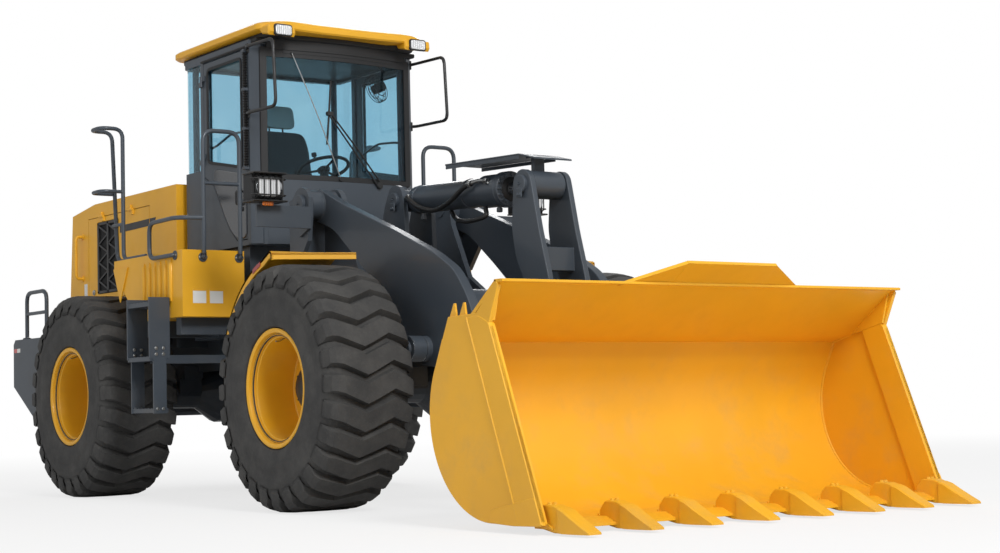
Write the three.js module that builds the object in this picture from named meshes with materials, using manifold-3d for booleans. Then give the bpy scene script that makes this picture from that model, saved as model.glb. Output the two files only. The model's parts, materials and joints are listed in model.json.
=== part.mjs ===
// Articulated wheel loader: rear frame with cab and hood, front frame with Z-bar bucket linkage.
// Millimetres. +X points to the bucket, +Y to the machine's left, +Z up, wheels stand on z = 0.
import * as THREE from "three";
import { mergeVertices } from "three/addons/utils/BufferGeometryUtils.js";
import Module from "manifold-3d";

const wasm = await Module();
wasm.setup();

// ---------------------------------------------------------------- driving dimensions
const WHEELBASE = 3300;
const TYRE_RADIUS = 785;
const TYRE_WIDTH = 600;
const TYRE_IN = 825;     // from the middle to a tyre's inner face
const RIM_RADIUS = 379;
const RIM_WIDTH = 556;
const RIM_BARREL = 331;
const HUB_RADIUS = 125;

const REAR_END = -3350;
const BUCKET_TIP = 4840;
const BUCKET_WIDTH = 3000;

const CAB_HALF = 700;
const CAB_BACK = -1030;
const CAB_FRONT = 60;
const CAB_NOSE = 190;
const CAB_FLOOR = 1850;
const CAB_TOP = 3360;
const CAB_WALL = 50;
const ROOF_TOP = 3485;

const HOOD_HALF = 750;
const HOOD_BACK = -3180;
const HOOD_TOP = 2415;
const HOOD_BOTTOM = 1350;
const HOOD_WALL = 30;

const BOX_FRONT = 50;
const BOX_BACK = -1120;
const BOX_IN = 758;
const BOX_OUT = 1250;
const BOX_TOP = 1800;
const BOX_BOTTOM = 1322;

const ARM_IN = 530;
const ARM_OUT = 600;
const TOWER_IN = 430;
const TOWER_OUT = 470;
const CHEEK_IN = 700;
const CHEEK_OUT = 735;
const CYLINDER_Y = 690;

const TUBE = 16;          // radius of hand rail tube
const SEAT = 0.3;         // gap between pieces that touch
const RUN = 5;            // side gap between pieces that move past each other
const PIN_PLAY = 0.9;     // radial play at a pin
const KNUCKLE = 12;       // radius of a door hinge
const HINGE_OUT = 14;     // how far a door hinge's axis stands off the panel

// pin centres, [x, z]
const BOOM_PIN = [850, 2060];
const BUCKET_PIN = [3360, 330];
const CRANK_PIN = [2780, 1240];
const CRANK_TOP = [2650, 2030];
const CRANK_LOW = [2860, 477];
const LINK_PIN = [3480, 640];
const TILT_PIN = [1110, 2090];
const LIFT_PIN = [620, 1120];
const LIFT_EYE = [2175, 1012];
const CROSS_TUBE = [2440, 1270];
const STEER_PIN = [-750, 430];    // x, y
const STEER_EYE = [195, 430];     // x, y
const STEER_Z = 860;

const GEARBOX = [-1180, -480];    // x

const AXLE_X = WHEELBASE / 2;
const WHEEL_Y = TYRE_IN + TYRE_WIDTH / 2;
const FENDER_IN = TYRE_IN - 13;
const CENTRE_X = (REAR_END + BUCKET_TIP) / 2;
const SIDES = [["right", -1], ["left", 1]];

// ---------------------------------------------------------------- materials
const paint = (color, roughness = 0.45, metalness = 0.1) => ({ color, roughness, metalness });
const YELLOW = paint(0xe89a18);
const GREY = paint(0x454a52, 0.5);
const BLACK = paint(0x1c1d1f, 0.7, 0);
const RUBBER = paint(0x3c3b39, 0.9, 0);
const GLASS = paint(0x6fa7b4, 0.1, 0);
const STEEL = paint(0xc9cdd2, 0.2, 0.9);

// ---------------------------------------------------------------- solids
function solid(geometry) {
  geometry.deleteAttribute("normal");
  geometry.deleteAttribute("uv");
  const merged = mergeVertices(geometry, 0.001);
  const vertProperties = new Float32Array(merged.attributes.position.array);
  const triVerts = new Uint32Array(merged.index.array);
  const body = new wasm.Manifold(new wasm.Mesh({ numProp: 3, vertProperties, triVerts }));
  if (body.volume() > 0) return body;
  for (let i = 0; i < triVerts.length; i += 3) {
    [triVerts[i], triVerts[i + 1]] = [triVerts[i + 1], triVerts[i]];
  }
  return new wasm.Manifold(new wasm.Mesh({ numProp: 3, vertProperties, triVerts }));
}

const join = (...bodies) => bodies.flat().reduce((a, b) => a.add(b));
const cut = (body, ...tools) => tools.flat().reduce((a, b) => a.subtract(b), body);

function shapeOf(points) {
  return new THREE.Shape(points.map(([a, b]) => new THREE.Vector2(a, b)));
}

function extrude(points, depth) {
  return new THREE.ExtrudeGeometry(shapeOf(points), { depth, bevelEnabled: false, curveSegments: 1 });
}

// plate with an outline in x-z, between two y values
function plateXZ(points, ya, yb) {
  const geometry = extrude(points, Math.abs(yb - ya));
  geometry.rotateX(Math.PI / 2);
  geometry.translate(0, Math.max(ya, yb), 0);
  return solid(geometry);
}

// plate with an outline in y-z, between two x values
function plateYZ(points, xa, xb) {
  const geometry = extrude(points, Math.abs(xb - xa));
  const x = new THREE.Vector3(0, 1, 0);
  const y = new THREE.Vector3(0, 0, 1);
  const z = new THREE.Vector3(1, 0, 0);
  geometry.applyMatrix4(new THREE.Matrix4().makeBasis(x, y, z));
  geometry.translate(Math.min(xa, xb), 0, 0);
  return solid(geometry);
}

// plate with an outline in x-y, between two z values
function plateXY(points, za, zb) {
  const geometry = extrude(points, Math.abs(zb - za));
  geometry.translate(0, 0, Math.min(za, zb));
  return solid(geometry);
}

function block([xa, xb], [ya, yb], [za, zb]) {
  const geometry = new THREE.BoxGeometry(Math.abs(xb - xa), Math.abs(yb - ya), Math.abs(zb - za));
  geometry.translate((xa + xb) / 2, (ya + yb) / 2, (za + zb) / 2);
  return solid(geometry);
}

// round bar between two points
function bar(a, b, radius, segments = 12) {
  const start = new THREE.Vector3(...a);
  const along = new THREE.Vector3(...b).sub(start);
  const geometry = new THREE.CylinderGeometry(radius, radius, along.length(), segments);
  geometry.translate(0, along.length() / 2, 0);
  const upright = new THREE.Vector3(0, 1, 0);
  const turn = new THREE.Quaternion().setFromUnitVectors(upright, along.clone().normalize());
  geometry.applyQuaternion(turn);
  geometry.translate(...a);
  return solid(geometry);
}

// disc or pin across the machine, centred on [x, z]
const pin = ([x, z], radius, ya, yb, segments = 18) => bar([x, ya, z], [x, yb, z], radius, segments);

// closed ring or disc turned about the y axis from [radius, y] pairs
function turned(profile, segments = 24) {
  const points = profile.map(([r, y]) => new THREE.Vector2(r, y));
  const first = profile[0];
  const last = profile[profile.length - 1];
  if (first[0] > 0 && last[0] > 0) points.push(points[0].clone());
  return solid(new THREE.LatheGeometry(points, segments));
}

const arc = (cx, cz, r, from, to, steps) => Array.from({ length: steps + 1 }, (_, i) => {
  const a = THREE.MathUtils.degToRad(from + (to - from) * i / steps);
  return [cx + r * Math.cos(a), cz + r * Math.sin(a)];
});

// A route of straight runs whose corners are rounded, as a curve for ExtrudeGeometry.
class Route extends THREE.Curve {
  constructor(corners, bend) {
    super();
    const c = corners.map((p) => new THREE.Vector3(...p));
    this.stops = [c[0]];
    for (let i = 1; i < c.length - 1; i++) {
      const reach = Math.min(bend, c[i].distanceTo(c[i - 1]) * 0.45, c[i].distanceTo(c[i + 1]) * 0.45);
      const into = c[i].clone().lerp(c[i - 1], reach / c[i].distanceTo(c[i - 1]));
      const out = c[i].clone().lerp(c[i + 1], reach / c[i].distanceTo(c[i + 1]));
      this.stops.push(...new THREE.QuadraticBezierCurve3(into, c[i], out).getPoints(2));
    }
    this.stops.push(c[c.length - 1]);
  }

  get runs() {
    return this.stops.length - 1;
  }

  getPointAt(u) {
    return this.stops[Math.round(u * this.runs)].clone();
  }

  getTangentAt(u) {
    const i = Math.round(u * this.runs);
    const back = this.stops[Math.max(i - 1, 0)];
    const ahead = this.stops[Math.min(i + 1, this.runs)];
    const here = this.stops[i];
    const a = here.clone().sub(back).normalize();
    const b = ahead.clone().sub(here).normalize();
    return a.add(b).normalize();
  }
}

function tube(corners, radius = TUBE, bend = 90, sides = 6) {
  const route = new Route(corners, bend);
  const ring = arc(0, 0, radius, 0, 360, sides).slice(0, sides);
  const options = { steps: route.runs, extrudePath: route, bevelEnabled: false };
  return solid(new THREE.ExtrudeGeometry(shapeOf(ring), options));
}

function geometryOf(body) {
  const mesh = body.getMesh();
  const geometry = new THREE.BufferGeometry();
  geometry.setAttribute("position", new THREE.BufferAttribute(new Float32Array(mesh.vertProperties), 3));
  geometry.setIndex(new THREE.BufferAttribute(new Uint32Array(mesh.triVerts), 1));
  geometry.computeVertexNormals();
  return geometry;
}

const machine = new THREE.Group();
machine.position.x = -CENTRE_X;

function add(name, body, look, place = [0, 0, 0]) {
  const mesh = new THREE.Mesh(geometryOf(body), new THREE.MeshStandardMaterial(look));
  mesh.name = name;
  mesh.position.set(...place);
  machine.add(mesh);
  return mesh;
}

// ---------------------------------------------------------------- wheels and axles
function tyre() {
  const w = TYRE_WIDTH / 2;
  const flange = RIM_WIDTH / 2;
  const bead = RIM_BARREL + SEAT;
  const half = [
    [bead, flange - 20 - SEAT], [RIM_RADIUS + 2, flange - 20 - SEAT], [RIM_RADIUS + 6, w - 10],
    [RIM_RADIUS + 90, w], [TYRE_RADIUS - 90, w - 20], [TYRE_RADIUS, w - 110],
  ];
  const mirrored = half.map(([r, y]) => [r, -y]).reverse();
  return turned([...half, ...mirrored], 24);
}

function rim() {
  const w = RIM_WIDTH / 2;
  return turned([
    [RIM_RADIUS, w - 14], [RIM_RADIUS, w], [RIM_BARREL - 13, w - 28],
    [RIM_BARREL - 13, -40], [HUB_RADIUS - 10, -40], [HUB_RADIUS - 10, -70], [RIM_BARREL - 13, -70],
    [RIM_BARREL - 13, 28 - w], [RIM_RADIUS, -w], [RIM_RADIUS, 14 - w], [RIM_BARREL, 16 - w],
    [RIM_BARREL, w - 16],
  ], 24);
}

// wheel end with its planetary gear, bolted in the middle of the rim
function hub() {
  const profile = [
    [0, 70], [95, 70], [HUB_RADIUS, 45], [HUB_RADIUS, -60], [190, -60], [190, -112], [0, -112],
  ];
  return turned(profile, 12);
}

// dead axle with the differential bowl in the middle and pads for the frame
function axle(nose, reach) {
  const tubeEnd = WHEEL_Y - 112 - PIN_PLAY;
  const beam = turned([
    [0, -tubeEnd], [150, -tubeEnd], [150, -800], [110, -740], [115, -330], [230, -160],
    [230, 160], [115, 330], [110, 740], [150, 800], [150, tubeEnd], [0, tubeEnd],
  ], 18);
  const pinion = bar([0, 0, 0], [nose * 420, 0, 40], 95, 14);
  const shaft = bar([nose * 400, 0, 40], [nose * reach, 0, 40], 45, 10);
  const pads = [-1, 1].map((s) => block([-130, 130], [s * 330, s * 520], [0, 120]));
  return join(beam, pinion, shaft, pads);
}

for (const [end, sx] of [["front", 1], ["rear", -1]]) {
  for (const [side, sy] of SIDES) {
    for (const [piece, body, look] of [["tyre", tyre(), RUBBER], ["rim", join(rim(), hub()), YELLOW]]) {
      const mesh = add(`${piece}_${end}_${side}`, body, look, [sx * AXLE_X, sy * WHEEL_Y, TYRE_RADIUS]);
      if (sy < 0) mesh.rotation.z = Math.PI;
    }
  }
  const reach = sx > 0 ? 1150 : AXLE_X + GEARBOX[0] - SEAT;
  add(`axle_${end}`, axle(-sx, reach), GREY, [sx * AXLE_X, 0, TYRE_RADIUS]);
}
const AXLE_SEAT = TYRE_RADIUS + 120 + SEAT;
const FRAME_BELLY = TYRE_RADIUS - 145;   // underside of the front frame

// ---------------------------------------------------------------- rear frame
const HINGE_R = 110;
const HINGE_PIN = 40;
const LUG = 35;
const FRONT_LUGS = [[680, 60], [1110, 60]];      // z of the lower face and thickness

function hingeLug(sx, z, thickness) {
  const nose = arc(0, 0, HINGE_R, 90, -90, 8).map(([x, y]) => [-sx * x, y]);
  return plateXY([...nose, [sx * 330, -190], [sx * 330, 190]], z, z + thickness);
}

const OUTRIGGERS = [[-80, -160], [-600, -680]];

function rearFrame() {
  const rails = [-1, 1].map((s) => block([-2600, -300], [s * 330, s * 370], [960, 1200]));
  const axleBoxes = [-1, 1].map((s) => (
    block([-AXLE_X - 160, -AXLE_X + 160], [s * 330, s * 500], [AXLE_SEAT, 1010])));
  const across = [[-300, -340], [-2500, -2600]].map((x) => block(x, [-370, 370], [962, 1198]));
  const bulkhead = block([-300, -340], [-200, 200], [630, 1260]);
  const outriggers = OUTRIGGERS.map((x) => block(x, [50 - BOX_OUT, BOX_OUT - 50], [1200, BOX_BOTTOM - SEAT]));
  const base = block([-1000, -80], [-640, 640], [1190, CAB_FLOOR - SEAT]);
  const hoodBeams = [[-1320, -1400], [-2480, -2560]].flatMap((x) => [-1, 1].map((s) => (
    block(x, [s * 335, s * 640], [1150, HOOD_BOTTOM - SEAT]))));
  const lugs = FRONT_LUGS.flatMap(([z, t]) => [z + t + 10, z - 10 - LUG]).map((z) => hingeLug(-1, z, LUG));
  const pins = FRONT_LUGS.map(([z, t]) => bar([0, 0, z - 60], [0, 0, z + t + 60], HINGE_PIN, 18));
  const steer = [-1, 1].flatMap((s) => [
    block([STEER_PIN[0] - 70, STEER_PIN[0] + 35], [s * 335, s * 480], [STEER_Z + 35, STEER_Z + 55]),
    block([STEER_PIN[0] - 70, STEER_PIN[0] + 35], [s * 335, s * 480], [STEER_Z - 55, STEER_Z - 35]),
    block([STEER_PIN[0] - 70, STEER_PIN[0] + 35], [s * 332, s * 352], [STEER_Z - 55, 965]),
    bar([STEER_PIN[0], s * STEER_PIN[1], STEER_Z - 60], [STEER_PIN[0], s * STEER_PIN[1], STEER_Z + 60], 20, 16),
  ]);
  const ladderArms = [-1, 1].map((s) => block([-390, -300], [s * 360, s * 1255], [1000, 1060]));
  return join(rails, axleBoxes, across, bulkhead, outriggers, base, hoodBeams, lugs, pins, steer, ladderArms);
}
add("rear_frame", rearFrame(), GREY);

const counterweight = plateXZ([
  [REAR_END, 890], [-2880, 610], [-2620, 610], [-2600 - SEAT, 640], [-2600 - SEAT, 1290],
  [-3310, 1290], [REAR_END, 1250],
], -1200, 1200);

// rail bolted on top of the counterweight
function tailRail(s) {
  const y = s * 1120;
  const z = 1286;
  const loop = tube([[-3240, y, z], [-3240, y, 1690], [-2800, y, 1690], [-2800, y, z]]);
  const middle = bar([-3240, y, 1510], [-2800, y, 1510], TUBE - 2, 6);
  const feet = [-3240, -2800].map((x) => block([x - 30, x + 30], [y - 30, y + 30], [z, z + 14]));
  return join(loop, middle, feet);
}
add("counterweight", join(counterweight, tailRail(-1), tailRail(1)), GREY);

// engine with its gearbox hanging between the rails, as plain blocks
add("engine_block", join(
  block([-2950, -2400], [-310, 310], [1400, 2150]),
  block([-2450, -1420], [-310, 310], [1200 + SEAT, 2150]),
  block([-1460, -1110], [-310, 310], [1030, 1700]),
  block(GEARBOX, [-310, 310], [560, 1140]),
  block([-2300, -2200], [-365, 365], [1200 + SEAT, 1240]),
), BLACK);

// ---------------------------------------------------------------- hood
const DOOR_X = [-2780, -1560];
const DOOR_Z = [1600, 2300];
const GRILLE_Y = 620;
const GRILLE_Z = [1700, 2250];
const PANEL = 25;
const PANEL_GAP = 6;

const hoodEnd = [
  [HOOD_BACK, HOOD_BOTTOM], [HOOD_BACK, 1620], [-3115, 2354], [-2640, HOOD_TOP], [CAB_BACK - 40, HOOD_TOP],
  [CAB_BACK - 40, HOOD_BOTTOM],
];
const hoodRoom = [
  [HOOD_BACK + HOOD_WALL, HOOD_BOTTOM - 10], [HOOD_BACK + HOOD_WALL, 1620], [-3085, 2326],
  [-2640, HOOD_TOP - HOOD_WALL], [CAB_BACK - 40 - HOOD_WALL, HOOD_TOP - HOOD_WALL],
  [CAB_BACK - 40 - HOOD_WALL, HOOD_BOTTOM - 10],
];

// x of the hood's leaning rear face at a height
const LEAN = Math.atan2(65, 734);
const rearAt = (z) => HOOD_BACK + (z - 1620) * Math.tan(LEAN);

const GRILLE_HINGES = [1840, 2140];     // z where the two halves meet
function grilleHinge(z, turn) {
  const [low, high] = turn > 0 ? [z - 40, z] : [z + SEAT, z + 40];
  const y = GRILLE_Y - 3;
  const at = (v, out) => rearAt(v) - out;
  const leaf = plateXZ([
    [at(low + 2, HINGE_OUT), low + 2], [at(high - 2, HINGE_OUT), high - 2], [at(high - 2, -1), high - 2],
    [at(low + 2, -1), low + 2],
  ], y, y + turn * 35);
  return join(bar([at(low, HINGE_OUT), y, low], [at(high, HINGE_OUT), y, high], KNUCKLE, 12), leaf);
}

// Half a hinge along one edge of a panel. turn is the side its leaf lies on, from the axis.
const HOOD_HINGES = [-2480, -1900];     // x where the two halves meet
function hoodHinge(x, s, turn) {
  const [y, z] = [s * (HOOD_HALF + HINGE_OUT), DOOR_Z[1] - 3];
  const [a, b] = turn > 0 ? [x - 40, x] : [x + SEAT, x + 40];
  const leaf = block([a, b], [s * (HOOD_HALF - 1), y], [z, z + turn * 40]);
  return join(bar([a, y, z], [b, y, z], KNUCKLE, 12), leaf);
}

function hood() {
  const outside = plateXZ(hoodEnd, -HOOD_HALF, HOOD_HALF);
  const inside = plateXZ(hoodRoom, HOOD_WALL - HOOD_HALF, HOOD_HALF - HOOD_WALL);
  const sideDoors = block(DOOR_X, [-HOOD_HALF - 10, HOOD_HALF + 10], DOOR_Z);
  const rear = block([HOOD_BACK - 10, -3000], [-GRILLE_Y, GRILLE_Y], GRILLE_Z);
  const ties = [[-1320, -1400], [-2480, -2560]].flatMap((x) => [-1, 1].map((s) => (
    block(x, [s * 560, s * (HOOD_HALF - 2)], [HOOD_BOTTOM, 1380]))));
  const hinges = HOOD_HINGES.flatMap((x) => [hoodHinge(x, -1, 1), hoodHinge(x, 1, 1)]);
  const rearHinges = GRILLE_HINGES.map((v) => grilleHinge(v, 1));
  return join(cut(outside, inside, sideDoors, rear), ties, hinges, rearHinges);
}
add("hood", hood(), YELLOW);

for (const [side, s] of SIDES) {
  const z = [DOOR_Z[0] + PANEL_GAP, DOOR_Z[1] - PANEL_GAP];
  const x = [DOOR_X[0] + PANEL_GAP, DOOR_X[1] - PANEL_GAP];
  const face = s * HOOD_HALF;
  const skin = block(x, [face, face - s * PANEL], z);
  const vent = block([-2580, -2160], [face - s * 12, face + s * 20], [z[0] + 40, z[1] - 40]);
  add(`hood_door_${side}`, join(cut(skin, vent), HOOD_HINGES.map((v) => hoodHinge(v, s, -1))), YELLOW);
}

function rearGrille() {
  const wide = GRILLE_Y - PANEL_GAP;
  const [low, high] = [GRILLE_Z[0] + PANEL_GAP, GRILLE_Z[1] - PANEL_GAP];
  const outline = [
    [rearAt(low), low], [rearAt(high), high], [rearAt(high) + 26, high], [rearAt(low) + 26, low],
  ];
  return join(plateXZ(outline, -wide, wide), GRILLE_HINGES.map((z) => grilleHinge(z, -1)));
}
add("rear_grille", rearGrille(), BLACK);

const exhaust = join(
  bar([-1750, 330, HOOD_TOP + SEAT], [-1750, 330, 2560], 80, 14),
  bar([-1750, 330, 2550], [-1750, 330, 2880], 55, 14),
  bar([-1750, 330, 2860], [-1850, 330, 2960], 55, 14),
);
add("exhaust", exhaust, BLACK);

// ---------------------------------------------------------------- platforms, ladders and hand rails
function platform(s) {
  const side = [
    [BOX_FRONT, BOX_BOTTOM], [BOX_FRONT, BOX_TOP], [BOX_BACK, BOX_TOP], [BOX_BACK, 1740], [-720, BOX_BOTTOM],
  ];
  const box = plateXZ(side, s * BOX_IN, s * BOX_OUT);
  const ribs = [0, 1, 2, 3, 4, 5].map((i) => (
    block([-120 - i * 90, -150 - i * 90], [s * (BOX_OUT - 11), s * (BOX_OUT + 8)], [1440, 1740])));
  return join(box, ribs);
}

function doorRail(s) {
  const x = BOX_FRONT + 25;
  const [near, far] = [s * 800, s * 1090];
  const loop = tube([[x, near, 1740], [x, near, 2660], [x, far, 2660], [x, far, 1740]]);
  const middle = bar([x, near, 2280], [x, far, 2280], TUBE - 3, 6);
  const y = s * (BOX_OUT + 28);
  const grab = tube([
    [x, far, 2030], [0, y, 2030], [-430, y, 2025], [-430, y, 1765], [-60, y, 1765],
  ], TUBE, 70);
  const feet = [near, far].map((v) => bar([BOX_FRONT + SEAT, v, 1748], [x, v, 1748], 30, 12));
  const heel = bar([-80, s * (BOX_OUT + SEAT), 1765], [-80, y, 1765], 26, 12);
  return join(loop, middle, grab, feet, heel);
}

function rearRail(s) {
  const [in_, out] = [s * 1100, s * 1280];
  const low = BOX_TOP + 30;
  const frame = tube([
    [-1000, s * 960, low], [-1480, s * 1060, low], [-1480, in_, 2850], [-1480, out, 2850], [-1280, out, 2850],
    [-1280, in_, 2850], [-1280, in_, low], [-880, in_, low],
  ]);
  const ringPath = [[-1480, in_, 2360], [-1480, out, 2360], [-1280, out, 2360], [-1280, in_, 2360]];
  const ring = tube(ringPath, TUBE - 3, 60);
  const tie = bar([-1480, in_ - s * 3, 2110], [-1280, in_, 2110], TUBE - 3, 6);
  const feet = [[-1010, 962], [-900, 1100]].map(([x, y]) => (
    bar([x, s * y, BOX_TOP + SEAT], [x, s * y, low], 28, 12)));
  return join(frame, ring, tie, feet);
}

function ladder(s) {
  const [inner, outer] = [s * (BOX_OUT + 10 + SEAT), s * 1420];
  const stringer = (x) => join(
    block([x - 6, x + 6], [inner, outer], [1030, 1470]),
    block([x - 7, x + 7], [s * 1290, s * 1390], [640, 1090]),
  );
  const step = (z, deep) => block([-520, -150], [s * 1275, s * (1275 + deep)], [z - 15, z + 15]);
  const hanger = block([-390, -300], [s * (1255 + SEAT), s * 1300], [1000, 1045]);
  const cap = block([-526, -144], [inner, inner + s * 12], [1400, 1470]);
  return join(stringer(-150), stringer(-520), step(1420, 140), step(1030, 140), step(660, 110), hanger, cap);
}

for (const [side, s] of SIDES) {
  add(`platform_${side}`, platform(s), YELLOW);
  add(`door_rail_${side}`, doorRail(s), GREY);
  add(`rear_rail_${side}`, rearRail(s), GREY);
  add(`ladder_${side}`, ladder(s), GREY);
}

// ---------------------------------------------------------------- cab
function cabPlan(inset) {
  const w = CAB_HALF - inset;
  const back = CAB_BACK + inset;
  const front = [
    [CAB_FRONT - inset, -w], [130 - inset, 0.86 * -w], [165 - inset, 0.5 * -w], [CAB_NOSE - inset, 0],
  ];
  const other = front.slice(0, 3).map(([x, y]) => [x, -y]).reverse();
  return [[back, 40 - w], [back + 40, -w], ...front, ...other, [back + 40, w], [back, w - 40]];
}

const SILL = 2340;
const HEADER = 3300;
const SIDE_DOOR = { back: -680, front: 10, bottom: 1890, top: 3300 };
const DOOR_GAP = 7;

// outline of the door: straight front, and a rear edge that sweeps forward below the glass
function doorOutline(inset) {
  const { back, front, bottom, top } = SIDE_DOOR;
  const low = [
    [-160, bottom + inset], [-270, bottom + 90], [-360, bottom + 200], [-440, bottom + 330],
    [-530, bottom + 450],
  ];
  return [
    [front - inset, bottom + inset], ...low.map(([x, z]) => [x + inset, z]),
    [back + inset, bottom + 530 + inset], [back + inset, top - inset], [front - inset, top - inset],
  ];
}

const doorGlass = (inset) => [
  [SIDE_DOOR.front - 75 - inset, 2430 + inset], [SIDE_DOOR.back + 70 + inset, 2530 + inset],
  [SIDE_DOOR.back + 70 + inset, SIDE_DOOR.top - 60 - inset],
  [SIDE_DOOR.front - 75 - inset, SIDE_DOOR.top - 60 - inset],
];
// the rear window runs round both rear corners
const rearGlassBox = (inset) => [
  [CAB_BACK - 20, -730 - inset], [-CAB_HALF - 20, CAB_HALF + 20], [2480 + inset, HEADER - inset],
];
const frontGlassBox = (inset) => [
  [CAB_FRONT + 12 + inset, CAB_NOSE + 20], [inset - 640, 640 - inset], [SILL + inset, HEADER + 20 - inset],
];

const DOOR_HINGES = [2560, 3160];       // z where the two halves meet
const DOOR_AXIS = [SIDE_DOOR.back - 10, CAB_HALF + HINGE_OUT];
function doorHinge(z, s, turn) {
  const [x, y] = [DOOR_AXIS[0], s * DOOR_AXIS[1]];
  const [low, high] = turn < 0 ? [z - 40, z] : [z + SEAT, z + 40];
  const leaf = block([x, x + turn * 45], [s * (CAB_HALF + SEAT), y], [low, high]);
  const foot = block([x + turn * 20, x + turn * 45], [s * (CAB_HALF - 1), s * (CAB_HALF + 1)], [low, high]);
  return join(bar([x, y, low], [x, y, high], KNUCKLE, 12), leaf, foot);
}

function cabShell() {
  const outside = plateXY(cabPlan(0), CAB_FLOOR, CAB_TOP);
  const inside = plateXY(cabPlan(CAB_WALL), CAB_FLOOR + CAB_WALL, CAB_TOP - 40);
  const doors = [-1, 1].map((s) => plateXZ(doorOutline(0), s * (CAB_HALF - 100), s * (CAB_HALF + 60)));
  const post = (y) => bar([-960, y, CAB_FLOOR + 40], [-960, y, CAB_TOP - 30], 25, 12);
  const posts = [-1, 1].map((s) => post(s * (CAB_HALF - 80)));
  const shell = cut(outside, inside, doors, block(...rearGlassBox(0)), block(...frontGlassBox(0)));
  const hinges = DOOR_HINGES.flatMap((z) => [doorHinge(z, -1, -1), doorHinge(z, 1, -1)]);
  return join(shell, posts, hinges, mirrorBow(-1), mirrorBow(1));
}

// bare tube bow on the front corner post
function mirrorBow(s) {
  const y = s * 735;
  const root = s * (CAB_HALF - 5);
  return tube([
    [CAB_FRONT - 10, root, 3290], [CAB_FRONT + 20, y, 3300], [490, y, 3290], [520, y, 2800],
    [CAB_FRONT + 20, y, 2810], [CAB_FRONT - 10, root, 2810],
  ], 11, 60);
}
add("cab", cabShell(), GREY);

// pane that follows the cab's plan, this far behind its outer face
function pane(depth, thickness, tool) {
  const outer = plateXY(cabPlan(depth), CAB_FLOOR, CAB_TOP);
  const inner = plateXY(cabPlan(depth + thickness), CAB_FLOOR - 5, CAB_TOP + 5);
  return cut(outer, inner).intersect(tool);
}
const GLASS_DEPTH = 14;
const GLASS_THICK = 8;
add("windshield", pane(GLASS_DEPTH, GLASS_THICK, block(...frontGlassBox(SEAT))), GLASS);
add("rear_window", pane(GLASS_DEPTH, GLASS_THICK, block(...rearGlassBox(SEAT))), GLASS);
for (const [side, s] of SIDES) {
  const skin = plateXZ(doorOutline(DOOR_GAP), s * (CAB_HALF - 40), s * CAB_HALF);
  const handle = block([-70, 0], [s * CAB_HALF, s * (CAB_HALF + 12)], [2160, 2190]);
  const hinges = DOOR_HINGES.map((z) => doorHinge(z, s, 1));
  const opening = plateXZ(doorGlass(0), s * (CAB_HALF - 100), s * (CAB_HALF + 60));
  add(`cab_door_${side}`, join(cut(skin, opening), handle, hinges), GREY);
  add(`door_glass_${side}`, plateXZ(doorGlass(SEAT), s * (CAB_HALF - 22), s * (CAB_HALF - 14)), GLASS);
}

function cabRoof() {
  const half = 720;
  const plan = [
    [-1200, 60 - half], [-1140, -half], [240, -half], [360, 140 - half], [330, 0.35 * -half],
    [330, 0.35 * half], [360, half - 140], [240, half], [-1140, half], [-1200, half - 60],
  ];
  const lid = plateXY(plan, CAB_TOP + 35, ROOF_TOP - 40);
  const crown = plateXY(plan.map(([x, y]) => [-420 + (x + 420) * 0.95, y * 0.94]), ROOF_TOP - 41, ROOF_TOP);
  const linerPlan = plan.map(([x, y]) => [-420 + (x + 420) * 0.93, y * 0.9]);
  const liner = plateXY(linerPlan, CAB_TOP + SEAT, CAB_TOP + 36);
  const eyes = [-900, -120].map((x) => bar([x, -560, ROOF_TOP - 20], [x, -560, ROOF_TOP + 22], 20, 12));
  return join(lid, crown, liner, eyes);
}
add("cab_roof", cabRoof(), YELLOW);

// seat, and the console with its wheel
const floorTop = CAB_FLOOR + CAB_WALL + SEAT;
add("seat", join(
  block([-700, -430], [-200, 200], [floorTop, 2180]),
  block([-780, -260], [-250, 250], [2170, 2310]),
  plateXZ([[-700, 2290], [-600, 2290], [-760, 2860], [-850, 2850]], -240, 240),
  plateXZ([[-790, 2840], [-745, 2840], [-800, 3060], [-870, 3050]], -140, 140),
  block([-720, -330], [-480, -300], [floorTop, 2400]),
  block([-700, -600], [-310, -190], [2190, 2230]),
), BLACK);
function console_() {
  const column = bar([0, 0, floorTop + 30], [-90, 0, 2450], 45, 12);
  const foot = block([-60, 60], [-90, 90], [floorTop, floorTop + 60]);
  const wheel = turned([[205, -12], [205, 12], [180, 12], [180, -12]], 20);
  const spokes = solid(new THREE.BoxGeometry(380, 12, 40));
  const tilt = new THREE.Matrix4().makeRotationX(Math.PI / 2);
  const lean = new THREE.Matrix4().makeRotationY(-0.35);
  const place = new THREE.Matrix4().makeTranslation(-90, 0, 2450).multiply(lean).multiply(tilt);
  const rimAndSpokes = join(wheel, spokes).transform(place.elements);
  return join(column, foot, rimAndSpokes);
}
add("steering_column", console_(), BLACK);

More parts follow.
